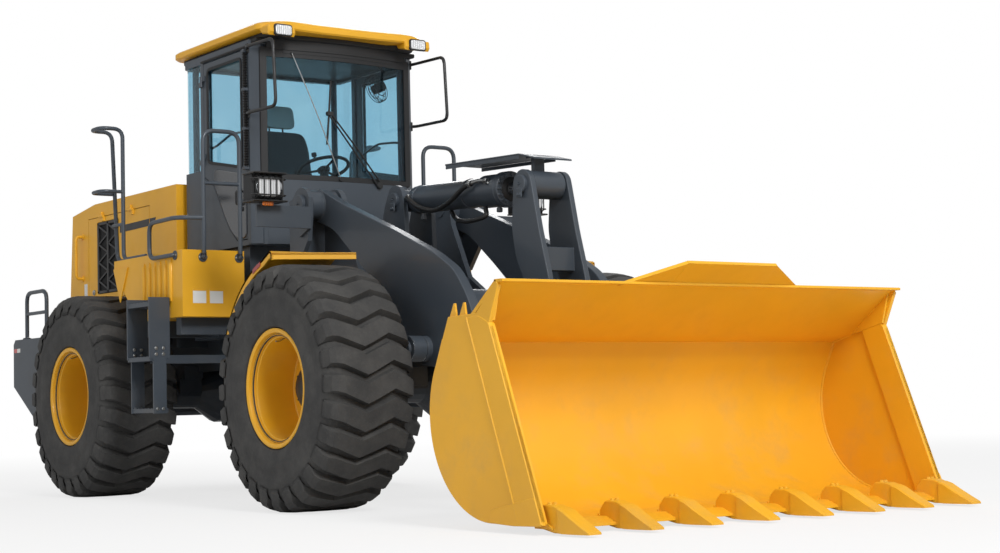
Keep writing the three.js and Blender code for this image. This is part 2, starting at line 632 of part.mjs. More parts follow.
// ---------------------------------------------------------------- front frame
function frontFrame() {
  const [px, pz] = BOOM_PIN;
  const side = [
    [300, FRAME_BELLY], [300, 1262], [560, 1400], [690, 1650], [690, 2080],
    ...arc(px, pz, 118, 150, 20, 6), [985, 1950], [1180, 1560], [1600, 1300], [2080, 1180],
    [2120, 1040], [2120, AXLE_SEAT], [1250, AXLE_SEAT], [1100, FRAME_BELLY],
  ];
  const towers = [-1, 1].map((s) => plateXZ(side, s * TOWER_IN, s * TOWER_OUT));
  const cheek = [
    [690, 1640], [690, 2080], ...arc(px, pz, 118, 150, 20, 6), [960, 1960], [935, 1800], [800, 1640],
  ];
  const cheeks = [-1, 1].map((s) => plateXZ(cheek, s * CHEEK_IN, s * CHEEK_OUT));
  const webs = [-1, 1].map((s) => block([691, 716], [s * TOWER_IN, s * CHEEK_OUT], [1642, 2100]));
  const across = [
    block([300, 340], [-TOWER_OUT, TOWER_OUT], [FRAME_BELLY, 1262]),
    block([760, 1200], [-TOWER_OUT, TOWER_OUT], [1520, 1550]),
    block([1180, 2100], [-TOWER_OUT, TOWER_OUT], [1030, 1065]),
    block([2085, 2120], [-TOWER_OUT, TOWER_OUT], [AXLE_SEAT, 1180]),
    block([760, 1120], [-TOWER_OUT, TOWER_OUT], [FRAME_BELLY + 10, FRAME_BELLY + 50]),
  ];
  const [tx, tz] = TILT_PIN;
  const ear = [[800, 1530], [980, 2060], ...arc(tx, tz, 105, 130, 10, 5), [1230, 1980], [1250, 1530]];
  const ears = [-1, 1].map((s) => plateXZ(ear, s * 95, s * 130));
  const earFoot = block([800, 1250], [-130, 130], [1500, 1549]);
  const lugs = FRONT_LUGS.map(([z, t]) => hingeLug(1, z, t));
  const bores = FRONT_LUGS.map(([z, t]) => bar([0, 0, z - 5], [0, 0, z + t + 5], HINGE_PIN + PIN_PLAY, 18));
  const pins = [-1, 1].flatMap((s) => [
    pin(BOOM_PIN, 45, s * (TOWER_IN - 10), s * (CHEEK_OUT + 12)),
    pin(LIFT_PIN, 38, s * (TOWER_IN - 10), s * (CYLINDER_Y + 65)),
    pin(LIFT_PIN, 60, s * TOWER_OUT, s * (CYLINDER_Y - 50 - RUN)),
  ]);
  const tiltPin = pin(TILT_PIN, 38, -142, 142);
  const steer = [-1, 1].flatMap((s) => {
    const [ex, ey] = [STEER_EYE[0], s * STEER_EYE[1]];
    const lug = [[305, ey - 42], [305, ey + 42], ...arc(ex, ey, 42, 90, 270, 8)];
    return [35, -55].map((z) => plateXY(lug, STEER_Z + z, STEER_Z + z + 20));
  });
  const fenderArms = [-1, 1].flatMap((s) => [
    block([1000, 1100], [s * TOWER_OUT, s * FENDER_IN], [925, 985]),
    block([985, 1120], [s * (FENDER_IN - 15), s * FENDER_IN], [925, 1450]),
  ]);
  const lamps = [headlight(-1), headlight(1)];
  const plates = cut(join(towers, across, lugs), bores);
  return join(plates, cheeks, webs, ears, earFoot, pins, tiltPin, steer, fenderArms, lamps);
}
add("front_frame", frontFrame(), GREY);

// fender: thin arched sheet with a deep lip along its outer edge; it ends over the axle in a raked edge
function fender(s) {
  const over = (r) => [...arc(AXLE_X, TYRE_RADIUS, r, 158, 108, 8)];
  const sheet = (r, drop) => [
    ...over(r + 14), [1560, 1666], [1700, 1655], [1700, 1655 - drop], [1560, 1666 - drop],
    ...over(r + 14 - drop).reverse(),
  ];
  const [inner, outer] = [FENDER_IN + SEAT, 1330];
  const past = s * (outer + 5);
  const rake = plateXY([[1700, s * inner], [1500, past], [1800, past], [1800, s * inner]], 1500, 1800);
  return cut(join(
    plateXZ(sheet(862, 14), s * inner, s * outer),
    plateXZ(sheet(862, 40), s * (outer - 14), s * outer),
    plateXZ([[985, 1200], [1100, 1200], [1120, 1448], [1060, 1448]], s * inner, s * (inner + 12)),
  ), rake);
}

function headlight(s) {
  const lampY = [s * 985, s * 1215];
  return join(
    block([965, 985], [s * (CHEEK_OUT + 5), s * 1150], [1880, 2030]),
    plateXZ([[860, 1830], [985, 1880], [985, 2030], [860, 1960]], s * (CHEEK_OUT - 4), s * (CHEEK_OUT + 20)),
    block([955, 995], [s * 1060, s * 1120], [2020, 2060]),
    block([930, 1040], lampY, [2050, 2230]),
    block([945, 1060], [s * 1010, s * 1190], [2075, 2205]),
  );
}

for (const [side, s] of SIDES) {
  add(`fender_${side}`, fender(s), YELLOW);
}

// ---------------------------------------------------------------- boom
function boom() {
  const [ax, az] = BOOM_PIN;
  const [bx, bz] = BUCKET_PIN;
  const outline = [
    ...arc(ax, az, 112, 250, 80, 8), [1160, 2045], [1830, 1800], [2280, 1620], [2500, 1500], [2640, 1330],
    [2760, 1080], [2960, 760], [3180, 560], ...arc(bx, bz, 98, 70, -110, 8), [3100, 350], [2800, 520],
    [2560, 760], [2330, 885], [2190, 905], [2100, 915], [1985, 1060], [1790, 1285],
    [1360, 1640], [1050, 1875],
  ];
  const arms = [-1, 1].map((s) => plateXZ(outline, s * ARM_IN, s * ARM_OUT));
  const bosses = [-1, 1].flatMap((s) => [
    pin(BOOM_PIN, 100, s * (TOWER_OUT + RUN), s * (CHEEK_IN - RUN)),
    pin(LIFT_EYE, 80, s * (ARM_OUT - 10), s * (CYLINDER_Y - 50 - RUN)),
  ]);
  const bores = [-1, 1].flatMap((s) => [
    pin(BOOM_PIN, 45 + PIN_PLAY, s * 400, s * 760),
    pin(BUCKET_PIN, 42 + PIN_PLAY, s * 500, s * 640),
  ]);
  const crossTube = pin(CROSS_TUBE, 105, -ARM_IN - 5, ARM_IN + 5);
  const [cx, cz] = CRANK_PIN;
  const lug = [
    [CROSS_TUBE[0], CROSS_TUBE[1] + 95], ...arc(cx, cz, 85, 80, -80, 6),
    [CROSS_TUBE[0], CROSS_TUBE[1] - 95],
  ];
  const lugs = [-1, 1].map((s) => plateXZ(lug, s * 55, s * 95));
  const crankBore = pin(CRANK_PIN, 40 + PIN_PLAY, -100, 100);
  return cut(join(arms, bosses, crossTube, cut(join(lugs), crankBore)), bores);
}
add("boom", boom(), GREY);

// pins that carry the bucket, with a disc on each side of its ears
for (const [side, s] of SIDES) {
  const discs = [[466, 494 - RUN], [636 + RUN, 669]].map(([a, b]) => pin(BUCKET_PIN, 105, s * a, s * b));
  add(`bucket_pin_${side}`, join(pin(BUCKET_PIN, 42, s * 476, s * 654), discs), STEEL);
}

// ---------------------------------------------------------------- bellcrank and link
const CRANK_IN = 125;
const CRANK_PLATE = 40;
function bellcrank() {
  const [gx, gz] = CRANK_TOP;
  const [cx, cz] = CRANK_PIN;
  const [dx, dz] = CRANK_LOW;
  const outline = [
    ...arc(gx, gz, 95, 20, 185, 6), [2530, 1760], [2565, 1570], [2695, 1340], [cx - 100, cz - 10],
    [cx - 85, cz - 150], ...arc(dx, dz, 80, 190, 350, 6), [cx + 160, cz - 120], [2905, 1420], [2815, 1730],
  ];
  const plates = [-1, 1].map((s) => plateXZ(outline, s * CRANK_IN, s * (CRANK_IN + CRANK_PLATE)));
  const spacer = block([2720, 2790], [-CRANK_IN - 5, CRANK_IN + 5], [1480, 1620]);
  const bore = pin(CRANK_PIN, 40 + PIN_PLAY, -200, 200);
  const lowCaps = [-1, 1].map((s) => (
    pin(CRANK_LOW, 36, s * (CRANK_IN + 20), s * (CRANK_IN + CRANK_PLATE + 15))));
  return cut(join(plates, spacer, lowCaps), bore);
}
add("bellcrank", bellcrank(), GREY);

// pin with a collar between the boom's lugs, a disc beside each lug and a cap outside each plate
function crankPin() {
  const outside = CRANK_IN + CRANK_PLATE + RUN;
  const collar = pin(CRANK_PIN, 120, RUN - 55, 55 - RUN);
  const discs = [-1, 1].map((s) => pin(CRANK_PIN, 120, s * (95 + RUN), s * (CRANK_IN - RUN)));
  const caps = [-1, 1].map((s) => pin(CRANK_PIN, 100, s * outside, s * (outside + 35)));
  return join(pin(CRANK_PIN, 40, -180, 180), collar, discs, caps);
}
add("crank_pin", crankPin(), STEEL);
add("link_pin", pin(LINK_PIN, 36, -180, 180), STEEL);

function link() {
  const [dx, dz] = CRANK_LOW;
  const [ex, ez] = LINK_PIN;
  const bar_ = bar([dx, 0, dz], [ex, 0, ez], 48, 16);
  const eyes = [CRANK_LOW, LINK_PIN].map((p) => pin(p, 68, -(CRANK_IN - RUN), CRANK_IN - RUN));
  return cut(join(bar_, eyes), pin(LINK_PIN, 36 + PIN_PLAY, -200, 200));
}
add("bucket_link", link(), GREY);

// ---------------------------------------------------------------- cylinders
// barrel from its rear eye, with a bore for the rod; a and b are the pin centres, in 3-D
function along(a, b, distance) {
  const start = new THREE.Vector3(...a);
  const end = new THREE.Vector3(...b);
  return start.add(end.sub(start).setLength(distance)).toArray();
}

function barrel(a, b, size) {
  const body = bar(along(a, b, size.start), along(a, b, size.length), size.radius, 14);
  const neck = bar(along(a, b, 20), along(a, b, size.start + 10), size.neck, 12);
  const gland = bar(along(a, b, size.length - size.gland), along(a, b, size.length), size.radius + 12, 14);
  const bore = bar(along(a, b, size.dead), along(a, b, size.length + 5), size.rod + PIN_PLAY, 14);
  return cut(join(body, neck, gland), bore);
}

// lift cylinders
const LIFT = { radius: 76, rod: 42, length: 1240, gland: 90, dead: 170, start: 66, neck: 46 };
const TILT = { radius: 96, rod: 46, length: 1205, gland: 260, dead: 170, start: 112, neck: 62 };
const STEER = { radius: 44, rod: 22, length: 610, gland: 50, dead: 80, start: 60, neck: 26 };

for (const [side, s] of SIDES) {
  const y = s * CYLINDER_Y;
  const a = [LIFT_PIN[0], y, LIFT_PIN[1]];
  const b = [LIFT_EYE[0], y, LIFT_EYE[1]];
  const eye = pin(LIFT_PIN, 72, y - 50, y + 50);
  const bore = pin(LIFT_PIN, 38 + PIN_PLAY, y - 60, y + 60);
  add(`lift_barrel_${side}`, cut(join(barrel(a, b, LIFT), eye), bore), GREY);
  const reach = new THREE.Vector3(...a).distanceTo(new THREE.Vector3(...b));
  const rod = bar(along(a, b, LIFT.dead + 20), along(a, b, reach - 20), LIFT.rod, 14);
  add(`lift_rod_${side}`, join(rod, pin(LIFT_EYE, 82, y - 50, y + 50)), STEEL);
}

const tiltStart = [TILT_PIN[0], 0, TILT_PIN[1]];
const tiltEnd = [CRANK_TOP[0], 0, CRANK_TOP[1]];
const tiltEye = pin(TILT_PIN, 78, -(95 - RUN), 95 - RUN);
const tiltBore = pin(TILT_PIN, 38 + PIN_PLAY, -200, 200);
add("tilt_barrel", cut(join(barrel(tiltStart, tiltEnd, TILT), tiltEye), tiltBore), GREY);
const tiltRod = bar(along(tiltStart, tiltEnd, 430), along(tiltStart, tiltEnd, 1500), TILT.rod, 14);
const guardOutline = [[1770, 2262], [2600, 2232], [2770, 2190], [2770, 2178], [2600, 2220], [1770, 2250]];
const guardPlate = plateXZ(guardOutline, -150, 150);
const guardPost = block([2585, 2625], [-40, 40], [2080, 2226]);
const tiltRodEye = pin(CRANK_TOP, 88, -(CRANK_IN - RUN), CRANK_IN - RUN);
add("tilt_rod", join(tiltRod, tiltRodEye, guardPost, guardPlate), STEEL);

for (const [side, s] of SIDES) {
  const a = [STEER_PIN[0], s * STEER_PIN[1], STEER_Z];
  const b = [STEER_EYE[0], s * STEER_EYE[1], STEER_Z];
  const eye = (p, r) => bar([p[0], p[1], STEER_Z - 30], [p[0], p[1], STEER_Z + 30], r, 14);
  const bore = bar([a[0], a[1], STEER_Z - 60], [a[0], a[1], STEER_Z + 60], 20 + PIN_PLAY, 16);
  add(`steer_barrel_${side}`, cut(join(barrel(a, b, STEER), eye(a, 42)), bore), GREY);
  const rod = bar(along(a, b, 345), along(a, b, STEER_EYE[0] - STEER_PIN[0] - 20), STEER.rod, 14);
  add(`steer_rod_${side}`, join(rod, eye(b, 40)), STEEL);
}

// ---------------------------------------------------------------- bucket
const BUCKET_ARC = { x: 4119, z: 606, r: 561 };
const BUCKET_FLOOR = BUCKET_ARC.z - BUCKET_ARC.r;
const SHEET = 20;

function bucket() {
  const { x, z, r } = BUCKET_ARC;
  const half = BUCKET_WIDTH / 2;
  const belly = (radius) => arc(x, z, radius, 270, 155, 12);
  const outer = [[4420, BUCKET_FLOOR], ...belly(r), [3690, 1010], [3860, 1055], [4190, 1300]];
  const inner = [
    [4205, 1285], [3872, 1033], [3707, 992], ...belly(r - SHEET).reverse(), [4420, BUCKET_FLOOR + SHEET],
  ];
  const sheet = plateXZ([...outer, ...inner], -half + 2, half - 2);
  const cheek = [
    [4543, BUCKET_FLOOR + 6], [4340, BUCKET_FLOOR], ...belly(r), [3755, 1126], [4013, 1133], [4203, 1294],
    [4215, 1270], [4128, 1079],
  ];
  const cheeks = [-1, 1].map((s) => plateXZ(cheek, s * half, s * (half - 25)));
  const strip = [[4543, 51], [4350, 51], [3930, 1115], [4040, 1120], [4128, 1079]];
  const strips = [-1, 1].map((s) => plateXZ(strip, s * half, s * (half - 40)));
  const flange = block([4180, 4250], [-half + 2, half - 2], [1284, 1300]);
  const guard = plateXZ([[4190, 1288], [4204, 1272], [4385, 1392], [4372, 1408]], -600, 600);
  const sideCuts = [-1, 1].map((s) => (
    plateXY([[4100, s * 700], [4215, s * 430], [4450, s * 230], [4450, s * 700]], 1200, 1500)));
  const tabs = [-1, 1].flatMap((s) => [
    plateXZ([[3560, 260], [3620, 760], ...arc(...BUCKET_PIN, 95, 60, 240, 6), [3600, 240]], s * 494, s * 519),
    plateXZ([[3560, 260], [3620, 760], ...arc(...BUCKET_PIN, 95, 60, 240, 6), [3600, 240]], s * 611, s * 636),
    plateXZ([[3590, 420], [3640, 900], ...arc(...LINK_PIN, 85, 60, 240, 6)], s * 130, s * 165),
  ]);
  const bores = [-1, 1].flatMap((s) => [
    pin(BUCKET_PIN, 42 + PIN_PLAY, s * 480, s * 650),
    pin(LINK_PIN, 36 + PIN_PLAY, s * 120, s * 170),
  ]);
  const roomOutline = [
    [4420, BUCKET_FLOOR + SHEET], ...arc(x, z, r - SHEET, 270, 155, 12), [3707, 992], [4420, 992],
  ];
  const room = plateXZ(roomOutline, 60 - half, half - 60);
  return cut(join(sheet, cheeks, strips, flange, cut(guard, sideCuts), cut(join(tabs), room)), bores);
}
add("bucket", bucket(), YELLOW);

function cuttingEdge() {
  const half = BUCKET_WIDTH / 2;
  const bladeOutline = [[4420 + SEAT, 30], [4420 + SEAT, 70], [4480, 70], [4560, 40], [4560, 30]];
  const blade = plateXZ(bladeOutline, 45 - half, half - 45);
  const rows = Array.from({ length: 8 }, (_, i) => (i / 3.5 - 1) * (half - 95));
  const tooth = [
    [4430, 69], [4430, 105], [4470, 150], [4560, 150], [4700, 95], [BUCKET_TIP, 30], [BUCKET_TIP, 14],
    [4700, 12], [4560, 12], [4470, 31],
  ];
  return join(blade, rows.map((y) => plateXZ(tooth, y - 45, y + 45)));
}
add("cutting_edge", cuttingEdge(), YELLOW);

const loader = new THREE.Group();
loader.add(machine);
export default loader;
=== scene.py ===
"""Articulated wheel loader: surfaces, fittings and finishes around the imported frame."""

import json
import math

import bmesh
import bpy
import numpy as np
from mathutils import Matrix, Vector


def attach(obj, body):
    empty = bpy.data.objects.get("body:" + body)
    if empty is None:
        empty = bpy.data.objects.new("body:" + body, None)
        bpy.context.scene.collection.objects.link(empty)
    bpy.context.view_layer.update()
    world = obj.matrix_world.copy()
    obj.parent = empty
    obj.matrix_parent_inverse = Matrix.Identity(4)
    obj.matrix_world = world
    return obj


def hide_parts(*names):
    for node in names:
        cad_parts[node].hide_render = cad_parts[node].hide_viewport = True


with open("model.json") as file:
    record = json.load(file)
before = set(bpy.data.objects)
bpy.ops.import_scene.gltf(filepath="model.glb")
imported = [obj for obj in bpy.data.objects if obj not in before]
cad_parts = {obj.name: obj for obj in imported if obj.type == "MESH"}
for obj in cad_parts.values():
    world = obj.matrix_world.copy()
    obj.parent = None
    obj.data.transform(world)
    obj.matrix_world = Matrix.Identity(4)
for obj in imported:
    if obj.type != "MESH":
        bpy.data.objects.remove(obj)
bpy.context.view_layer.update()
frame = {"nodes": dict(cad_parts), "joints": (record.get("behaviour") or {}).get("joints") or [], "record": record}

JOINTS = {joint["name"]: joint for joint in frame["joints"]}
CENTRE = JOINTS["articulation"]["pos_m"][0]      # x of the centre hinge, where the working frame starts
MM = 0.001
SIDES = {"right": -1, "left": 1}


def joint_place(name):
    """Joint position in millimetres from the centre hinge on the ground."""
    x, y, z = JOINTS[name]["pos_m"]
    return np.array([(x - CENTRE) / MM, y / MM, z / MM])


# ------------------------------------------------------------------ solids, millimetres from the centre hinge
# A solid is (points, faces): an array of points and a list of index arrays, one row a face.

def merge(*solids):
    """All points one after another, each solid's faces counted on by the points before it."""
    points, faces, start = [], [], 0
    for p, f in solids:
        points.append(p)
        faces.extend(part + start for part in f)
        start += len(p)
    return np.vstack(points), faces


def loft(rings, closed=False):
    """Rings (m, n, 3) joined by quads, ring i to ring i + 1; the ends are capped, or joined when closed."""
    m, n = rings.shape[:2]
    rows = np.arange(m if closed else m - 1)[:, None]
    cols = np.arange(n)[None, :]
    a = rows * n + cols
    b = rows * n + (cols + 1) % n
    c = (rows + 1) % m * n + (cols + 1) % n
    d = (rows + 1) % m * n + cols
    faces = [np.stack([a, b, c, d], -1).reshape(-1, 4)]
    if not closed:
        faces += [np.arange(n)[None, ::-1], (m - 1) * n + np.arange(n)[None, :]]
    return rings.reshape(-1, 3), faces


def inset(outline, distance):
    """Outline moved inwards: a corner goes along its mitre by distance over the cosine of half its turn."""
    p = np.asarray(outline, float)
    ahead = np.roll(p, -1, 0) - p
    ahead /= np.linalg.norm(ahead, axis=1)[:, None]
    back = np.roll(ahead, 1, 0)
    area = 0.5 * np.sum(p[:, 0] * np.roll(p[:, 1], -1) - np.roll(p[:, 0], -1) * p[:, 1])
    normal = np.stack([-(ahead + back)[:, 1], (ahead + back)[:, 0]], 1) * np.sign(area)
    size = np.maximum(np.linalg.norm(normal, axis=1), 0.8)[:, None]
    return p + normal * distance * 2 / size**2


def slab(outline, low, high, plane="xz", chamfer=3.0):
    """Prism of an outline between two heights, in either order: four rings, the end ones inset."""
    low, high = sorted((low, high))
    rings = [(inset(outline, chamfer), low), (np.asarray(outline, float), low + chamfer),
             (np.asarray(outline, float), high - chamfer), (inset(outline, chamfer), high)]
    order = {"xz": (0, 2, 1), "yz": (1, 2, 0), "xy": (0, 1, 2)}[plane]
    out = np.zeros((4, len(outline), 3))
    for ring, (flat, height) in zip(out, rings):
        ring[:, order[0]], ring[:, order[1]], ring[:, order[2]] = flat[:, 0], flat[:, 1], height
    return loft(out)


def brick(x, y, z, chamfer=3.0):
    """Box between two values on each axis, upper and lower rims chamfered."""
    (xa, xb), (ya, yb), (za, zb) = sorted(x), sorted(y), sorted(z)
    return slab([(xa, ya), (xb, ya), (xb, yb), (xa, yb)], za, zb, "xy", chamfer)


def arc(cx, cz, r, start, end, steps):
    """Points on a circle from one angle to another, in degrees."""
    t = np.radians(np.linspace(start, end, steps + 1))
    return np.stack([cx + r * np.cos(t), cz + r * np.sin(t)], 1)


def frames(path):
    """Tangent and two normals at each point; the first normal is carried on by projecting out the tangent."""
    tangent = np.gradient(path, axis=0)
    tangent /= np.linalg.norm(tangent, axis=1)[:, None]
    side = np.cross(tangent[0], [0.0, 0.0, 1.0])
    if np.linalg.norm(side) < 0.1:
        side = np.array([0.0, 1.0, 0.0])
    sides = []
    for t in tangent:
        side = side - t * np.dot(side, t)
        side = side / np.linalg.norm(side)
        sides.append(side)
    sides = np.array(sides)
    return tangent, sides, np.cross(tangent, sides)


def rounded(corners, bend, per_bend=8):
    """Straight runs whose corners are quadratic curves that start and end a bend's length away."""
    c = np.asarray(corners, float)
    out = [c[:1]]
    t = np.linspace(0, 1, per_bend + 1)[:, None]
    for before, corner, after in zip(c[:-2], c[1:-1], c[2:]):
        into = min(bend, np.linalg.norm(corner - before) * 0.45)
        out_of = min(bend, np.linalg.norm(after - corner) * 0.45)
        a = corner + (before - corner) / np.linalg.norm(before - corner) * into
        b = corner + (after - corner) / np.linalg.norm(after - corner) * out_of
        out.append((1 - t) ** 2 * a + 2 * t * (1 - t) * corner + t**2 * b)
    out.append(c[-1:])
    return np.vstack(out)


def smooth(points, per_span=8):
    """Catmull-Rom curve through the points."""
    p = np.asarray(points, float)
    p = np.vstack([2 * p[0] - p[1], p, 2 * p[-1] - p[-2]])
    t = np.linspace(0, 1, per_span, endpoint=False)[:, None]
    spans = [0.5 * (2 * b + (c - a) * t + (2 * a - 5 * b + 4 * c - d) * t**2 + (3 * b - a - 3 * c + d) * t**3)
             for a, b, c, d in zip(p[:-3], p[1:-2], p[2:-1], p[3:])]
    return np.vstack([*spans, p[-2:-1]])


def pipe(path, radius, sides=16):
    """Circle carried along a path; radius may be an array with one value a point."""
    path = np.asarray(path, float)
    _, u, v = frames(path)
    t = np.linspace(0, 2 * math.pi, sides, endpoint=False)
    r = np.broadcast_to(np.asarray(radius, float), len(path))[:, None, None]
    ring = u[:, None, :] * np.cos(t)[None, :, None] + v[:, None, :] * np.sin(t)[None, :, None]
    return loft(path[:, None, :] + ring * r)


def square_to(axis):
    """Two directions square to an axis and to each other."""
    u = np.cross(axis, [0.0, 0.0, 1.0] if abs(axis[2]) < 0.9 else [1.0, 0.0, 0.0])
    u /= np.linalg.norm(u)
    return u, np.cross(axis, u)


def turned(profile, start, axis, segments=48, closed=False):
    """Profile of (radius, height) pairs turned about an axis through a start point."""
    axis = np.asarray(axis, float) / np.linalg.norm(axis)
    u, v = square_to(axis)
    t = np.linspace(0, 2 * math.pi, segments, endpoint=False)
    ring = u[None, :] * np.cos(t)[:, None] + v[None, :] * np.sin(t)[:, None]
    r = np.array([p[0] for p in profile], float)[:, None, None]
    h = np.array([p[1] for p in profile], float)[:, None, None]
    return loft(np.asarray(start, float) + ring[None] * r + axis * h, closed)


def bolt(at, axis, size=13.0, height=12.0):
    """Hexagon head with a domed top on a round washer."""
    cap = turned([(size, height * 0.25), (size, height * 0.85), (size * 0.8, height)], at, axis, 6)
    return merge(turned([(size * 1.25, 0), (size * 1.25, height * 0.25)], at, axis, 16), cap)


def bolts(places, axis, size=13.0, height=12.0):
    """One bolt at each place."""
    return merge(*[bolt(p, axis, size, height) for p in places])


def hoop(at, axis, radius, wire, around, segments):
    """Ring of round wire: its section has as many corners as around says."""
    section = [(radius + wire * math.cos(a), wire * math.sin(a))
               for a in np.linspace(0, 2 * math.pi, around + 1)[:-1]]
    return turned(section, at, axis, segments, True)


def disc(at, axis, radius, thick, chamfer=3.0, segments=40):
    """Round plate with a chamfered rim, standing on its place."""
    return turned([(radius, 0), (radius, thick - chamfer), (radius - chamfer, thick)], at, axis, segments)


def weld(path, radius=6.0):
    """Bead along a line, its radius rippling along the length."""
    path = np.asarray(path, float)
    length = np.concatenate([[0], np.cumsum(np.linalg.norm(np.diff(path, axis=0), axis=1))])
    steps = np.linspace(0, length[-1], max(int(length[-1] / 14), 4))
    line = np.stack([np.interp(steps, length, path[:, k]) for k in range(3)], 1)
    return pipe(line, radius * (1 + 0.15 * np.cos(steps * math.pi / 14)), 6)


def piece(name, solid, material, body, sharp=35, stands_for=()):
    """Puts a solid into a mesh object that rides on a body, smooth apart from edges sharper than an angle."""
    points, faces = solid
    points = points * MM + np.array([CENTRE, 0, 0])
    mesh = bpy.data.meshes.new(name)
    mesh.from_pydata(points.tolist(), [], [row for part in faces for row in part.tolist()])
    mesh.validate()
    mesh.shade_smooth()
    mesh.set_sharp_from_angle(angle=math.radians(sharp))
    mesh.materials.append(material)
    obj = bpy.data.objects.new(name, mesh)
    bpy.context.scene.collection.objects.link(obj)
    fix_normals(mesh)
    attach(obj, body)
    if stands_for:
        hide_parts(*stands_for)
    return obj


def fix_normals(mesh):
    """Turns every closed shell of the mesh outwards."""
    work = bmesh.new()
    work.from_mesh(mesh)
    bmesh.ops.recalc_face_normals(work, faces=work.faces)
    work.to_mesh(mesh)
    work.free()


# ------------------------------------------------------------------ shader expressions
class Field:
    """A value or colour that varies over a surface; arithmetic adds Math nodes to its finish."""

    def __init__(self, finish, socket):
        self.finish, self.socket = finish, socket

    def math(self, operation, *others):
        """This value and others through one Math node."""
        return self.finish.node("ShaderNodeMath", {"operation": operation}, [self, *others])

    def __add__(self, other):
        return self.math("ADD", other)

    def __sub__(self, other):
        return self.math("SUBTRACT", other)

    def __rsub__(self, other):
        return self.finish.node("ShaderNodeMath", {"operation": "SUBTRACT"}, [other, self])

    def __mul__(self, other):
        return self.math("MULTIPLY", other)

    def __pow__(self, other):
        return self.math("POWER", other)

    __radd__, __rmul__ = __add__, __mul__

    def rise(self, low, high):
        """0 below low, 1 above high, smooth between."""
        return self.finish.node("ShaderNodeMapRange", {"interpolation_type": "SMOOTHSTEP"},
                                [self, low, high, 0.0, 1.0])


class Finish:
    """One material: a Principled shader whose sockets take numbers, colours or fields."""

    def __init__(self, name):
        self.material = bpy.data.materials.new(name)
        self.material.use_nodes = True
        self.tree = self.material.node_tree
        self.shader = self.tree.nodes["Principled BSDF"]
        self.place = self.node("ShaderNodeTexCoord", output="Object")

    def node(self, kind, settings=None, values=(), output=0):
        """Adds a node: settings first, then each socket's number, colour or link."""
        node = self.tree.nodes.new(kind)
        for key, value in (settings or {}).items():
            setattr(node, key, value)
        for key, value in values.items() if isinstance(values, dict) else enumerate(values):
            self.feed(node.inputs[key], value)
        return Field(self, node.outputs[output])

    def feed(self, socket, value):
        """Links a field to a socket, or writes a colour or number into it."""
        if isinstance(value, Field):
            self.tree.links.new(value.socket, socket)
        elif isinstance(value, tuple) and socket.type == "RGBA":
            socket.default_value = (*value[:3], 1.0)
        else:
            socket.default_value = value

    def set(self, **sockets):
        """Feeds the shader's sockets, named in lower case."""
        for key, value in sockets.items():
            self.feed(self.shader.inputs[key.replace("_", " ").title().replace("Ior", "IOR")], value)

    def noise(self, scale, detail=3.0, rough=0.55, stretch=None):
        """Cloudy pattern, drawn out along the axes when stretched."""
        place = self.place
        if stretch:
            place = self.node("ShaderNodeMapping", None, {"Vector": place, "Scale": stretch})
        return self.node("ShaderNodeTexNoise", None,
                         {"Vector": place, "Scale": scale, "Detail": detail, "Roughness": rough})

    def mix(self, a, b, factor):
        """Colour between two colours."""
        return self.node("ShaderNodeMix", {"data_type": "RGBA"}, {0: factor, 6: a, 7: b}, 2)

    def axis(self, index):
        """One coordinate of the object's own place, in metres."""
        return self.node("ShaderNodeSeparateXYZ", None, [self.place], index)

    def edge_highlight_mask(self, radius):
        """1 along sharp edges, from the angle between the rounded normal and the flat one; it masks the painted
        rim highlight.
        """
        soft = self.node("ShaderNodeBevel", {"samples": 4}, {"Radius": radius})
        flat = self.node("ShaderNodeNewGeometry", output="Normal")
        dot = self.node("ShaderNodeVectorMath", {"operation": "DOT_PRODUCT"}, [soft, flat], 1)
        return (1.0 - dot).rise(0.02, 0.20)

    def relief(self, height, distance, strength=1.0, rounding=0.0):
        """Bump from a height field, over edges rounded by a radius."""
        values = {"Strength": strength, "Distance": distance, "Height": height}
        if rounding:
            values["Normal"] = self.node("ShaderNodeBevel", {"samples": 4}, {"Radius": rounding})
        self.set(normal=self.node("ShaderNodeBump", None, values))


def linear(red, green, blue):
    """sRGB 0-255 to linear."""
    c = np.array([red, green, blue]) / 255
    return tuple(float(v) for v in np.where(c <= 0.04045, c / 12.92, ((c + 0.055) / 1.055) ** 2.4))


def paint(name, colour, rough, coat, dust, edge, rounding=0.003):
    """Sprayed enamel: faint patches, orange-peel relief, dust low down and a painted highlight along the rims."""
    f = Finish(name)
    base = np.array(linear(*colour))
    patch = f.noise(0.9, 4).rise(0.35, 0.7)
    grime = f.noise(3.5, 6, 0.65).rise(0.45, 0.75)
    low = 1.0 - f.axis(2).rise(0.15, 1.5)
    coats = f.mix(tuple(base * 0.93), tuple(np.minimum(base * 1.05, 1)), patch)
    dusty = f.mix(coats, tuple(linear(150, 138, 118)), grime * (low * dust + dust * 0.12))
    # painted highlight: bright is the paint lightened along the rims, mixed in at the edge strength
    bright = tuple(np.minimum(base * 1.6 + 0.03, 1))
    f.set(base_color=f.mix(dusty, bright, f.edge_highlight_mask(rounding * 1.6) * edge),
          roughness=rough + grime * 0.12 + low * 0.08, metallic=0.0, coat_weight=coat, coat_roughness=0.12)
    peel = f.noise(240, 2) * 0.3 + f.noise(18, 2) * 0.7
    f.relief(peel, 0.0004, 0.5, rounding)
    return f.material


def rubber(name):
    """Tyre rubber: charcoal with grey dust in patches and moulding grain."""
    f = Finish(name)
    dust = f.noise(5, 6, 0.7).rise(0.3, 0.8)
    fine = f.noise(90, 3)
    tone = f.mix(linear(52, 52, 52), linear(72, 71, 69), dust)
    f.set(base_color=f.mix(tone, linear(92, 90, 86), fine.rise(0.5, 0.9) * 0.35), roughness=0.86 - dust * 0.1)
    f.relief(fine * 0.6 + f.noise(30, 4) * 0.4, 0.0016, 0.6, 0.004)
    return f.material


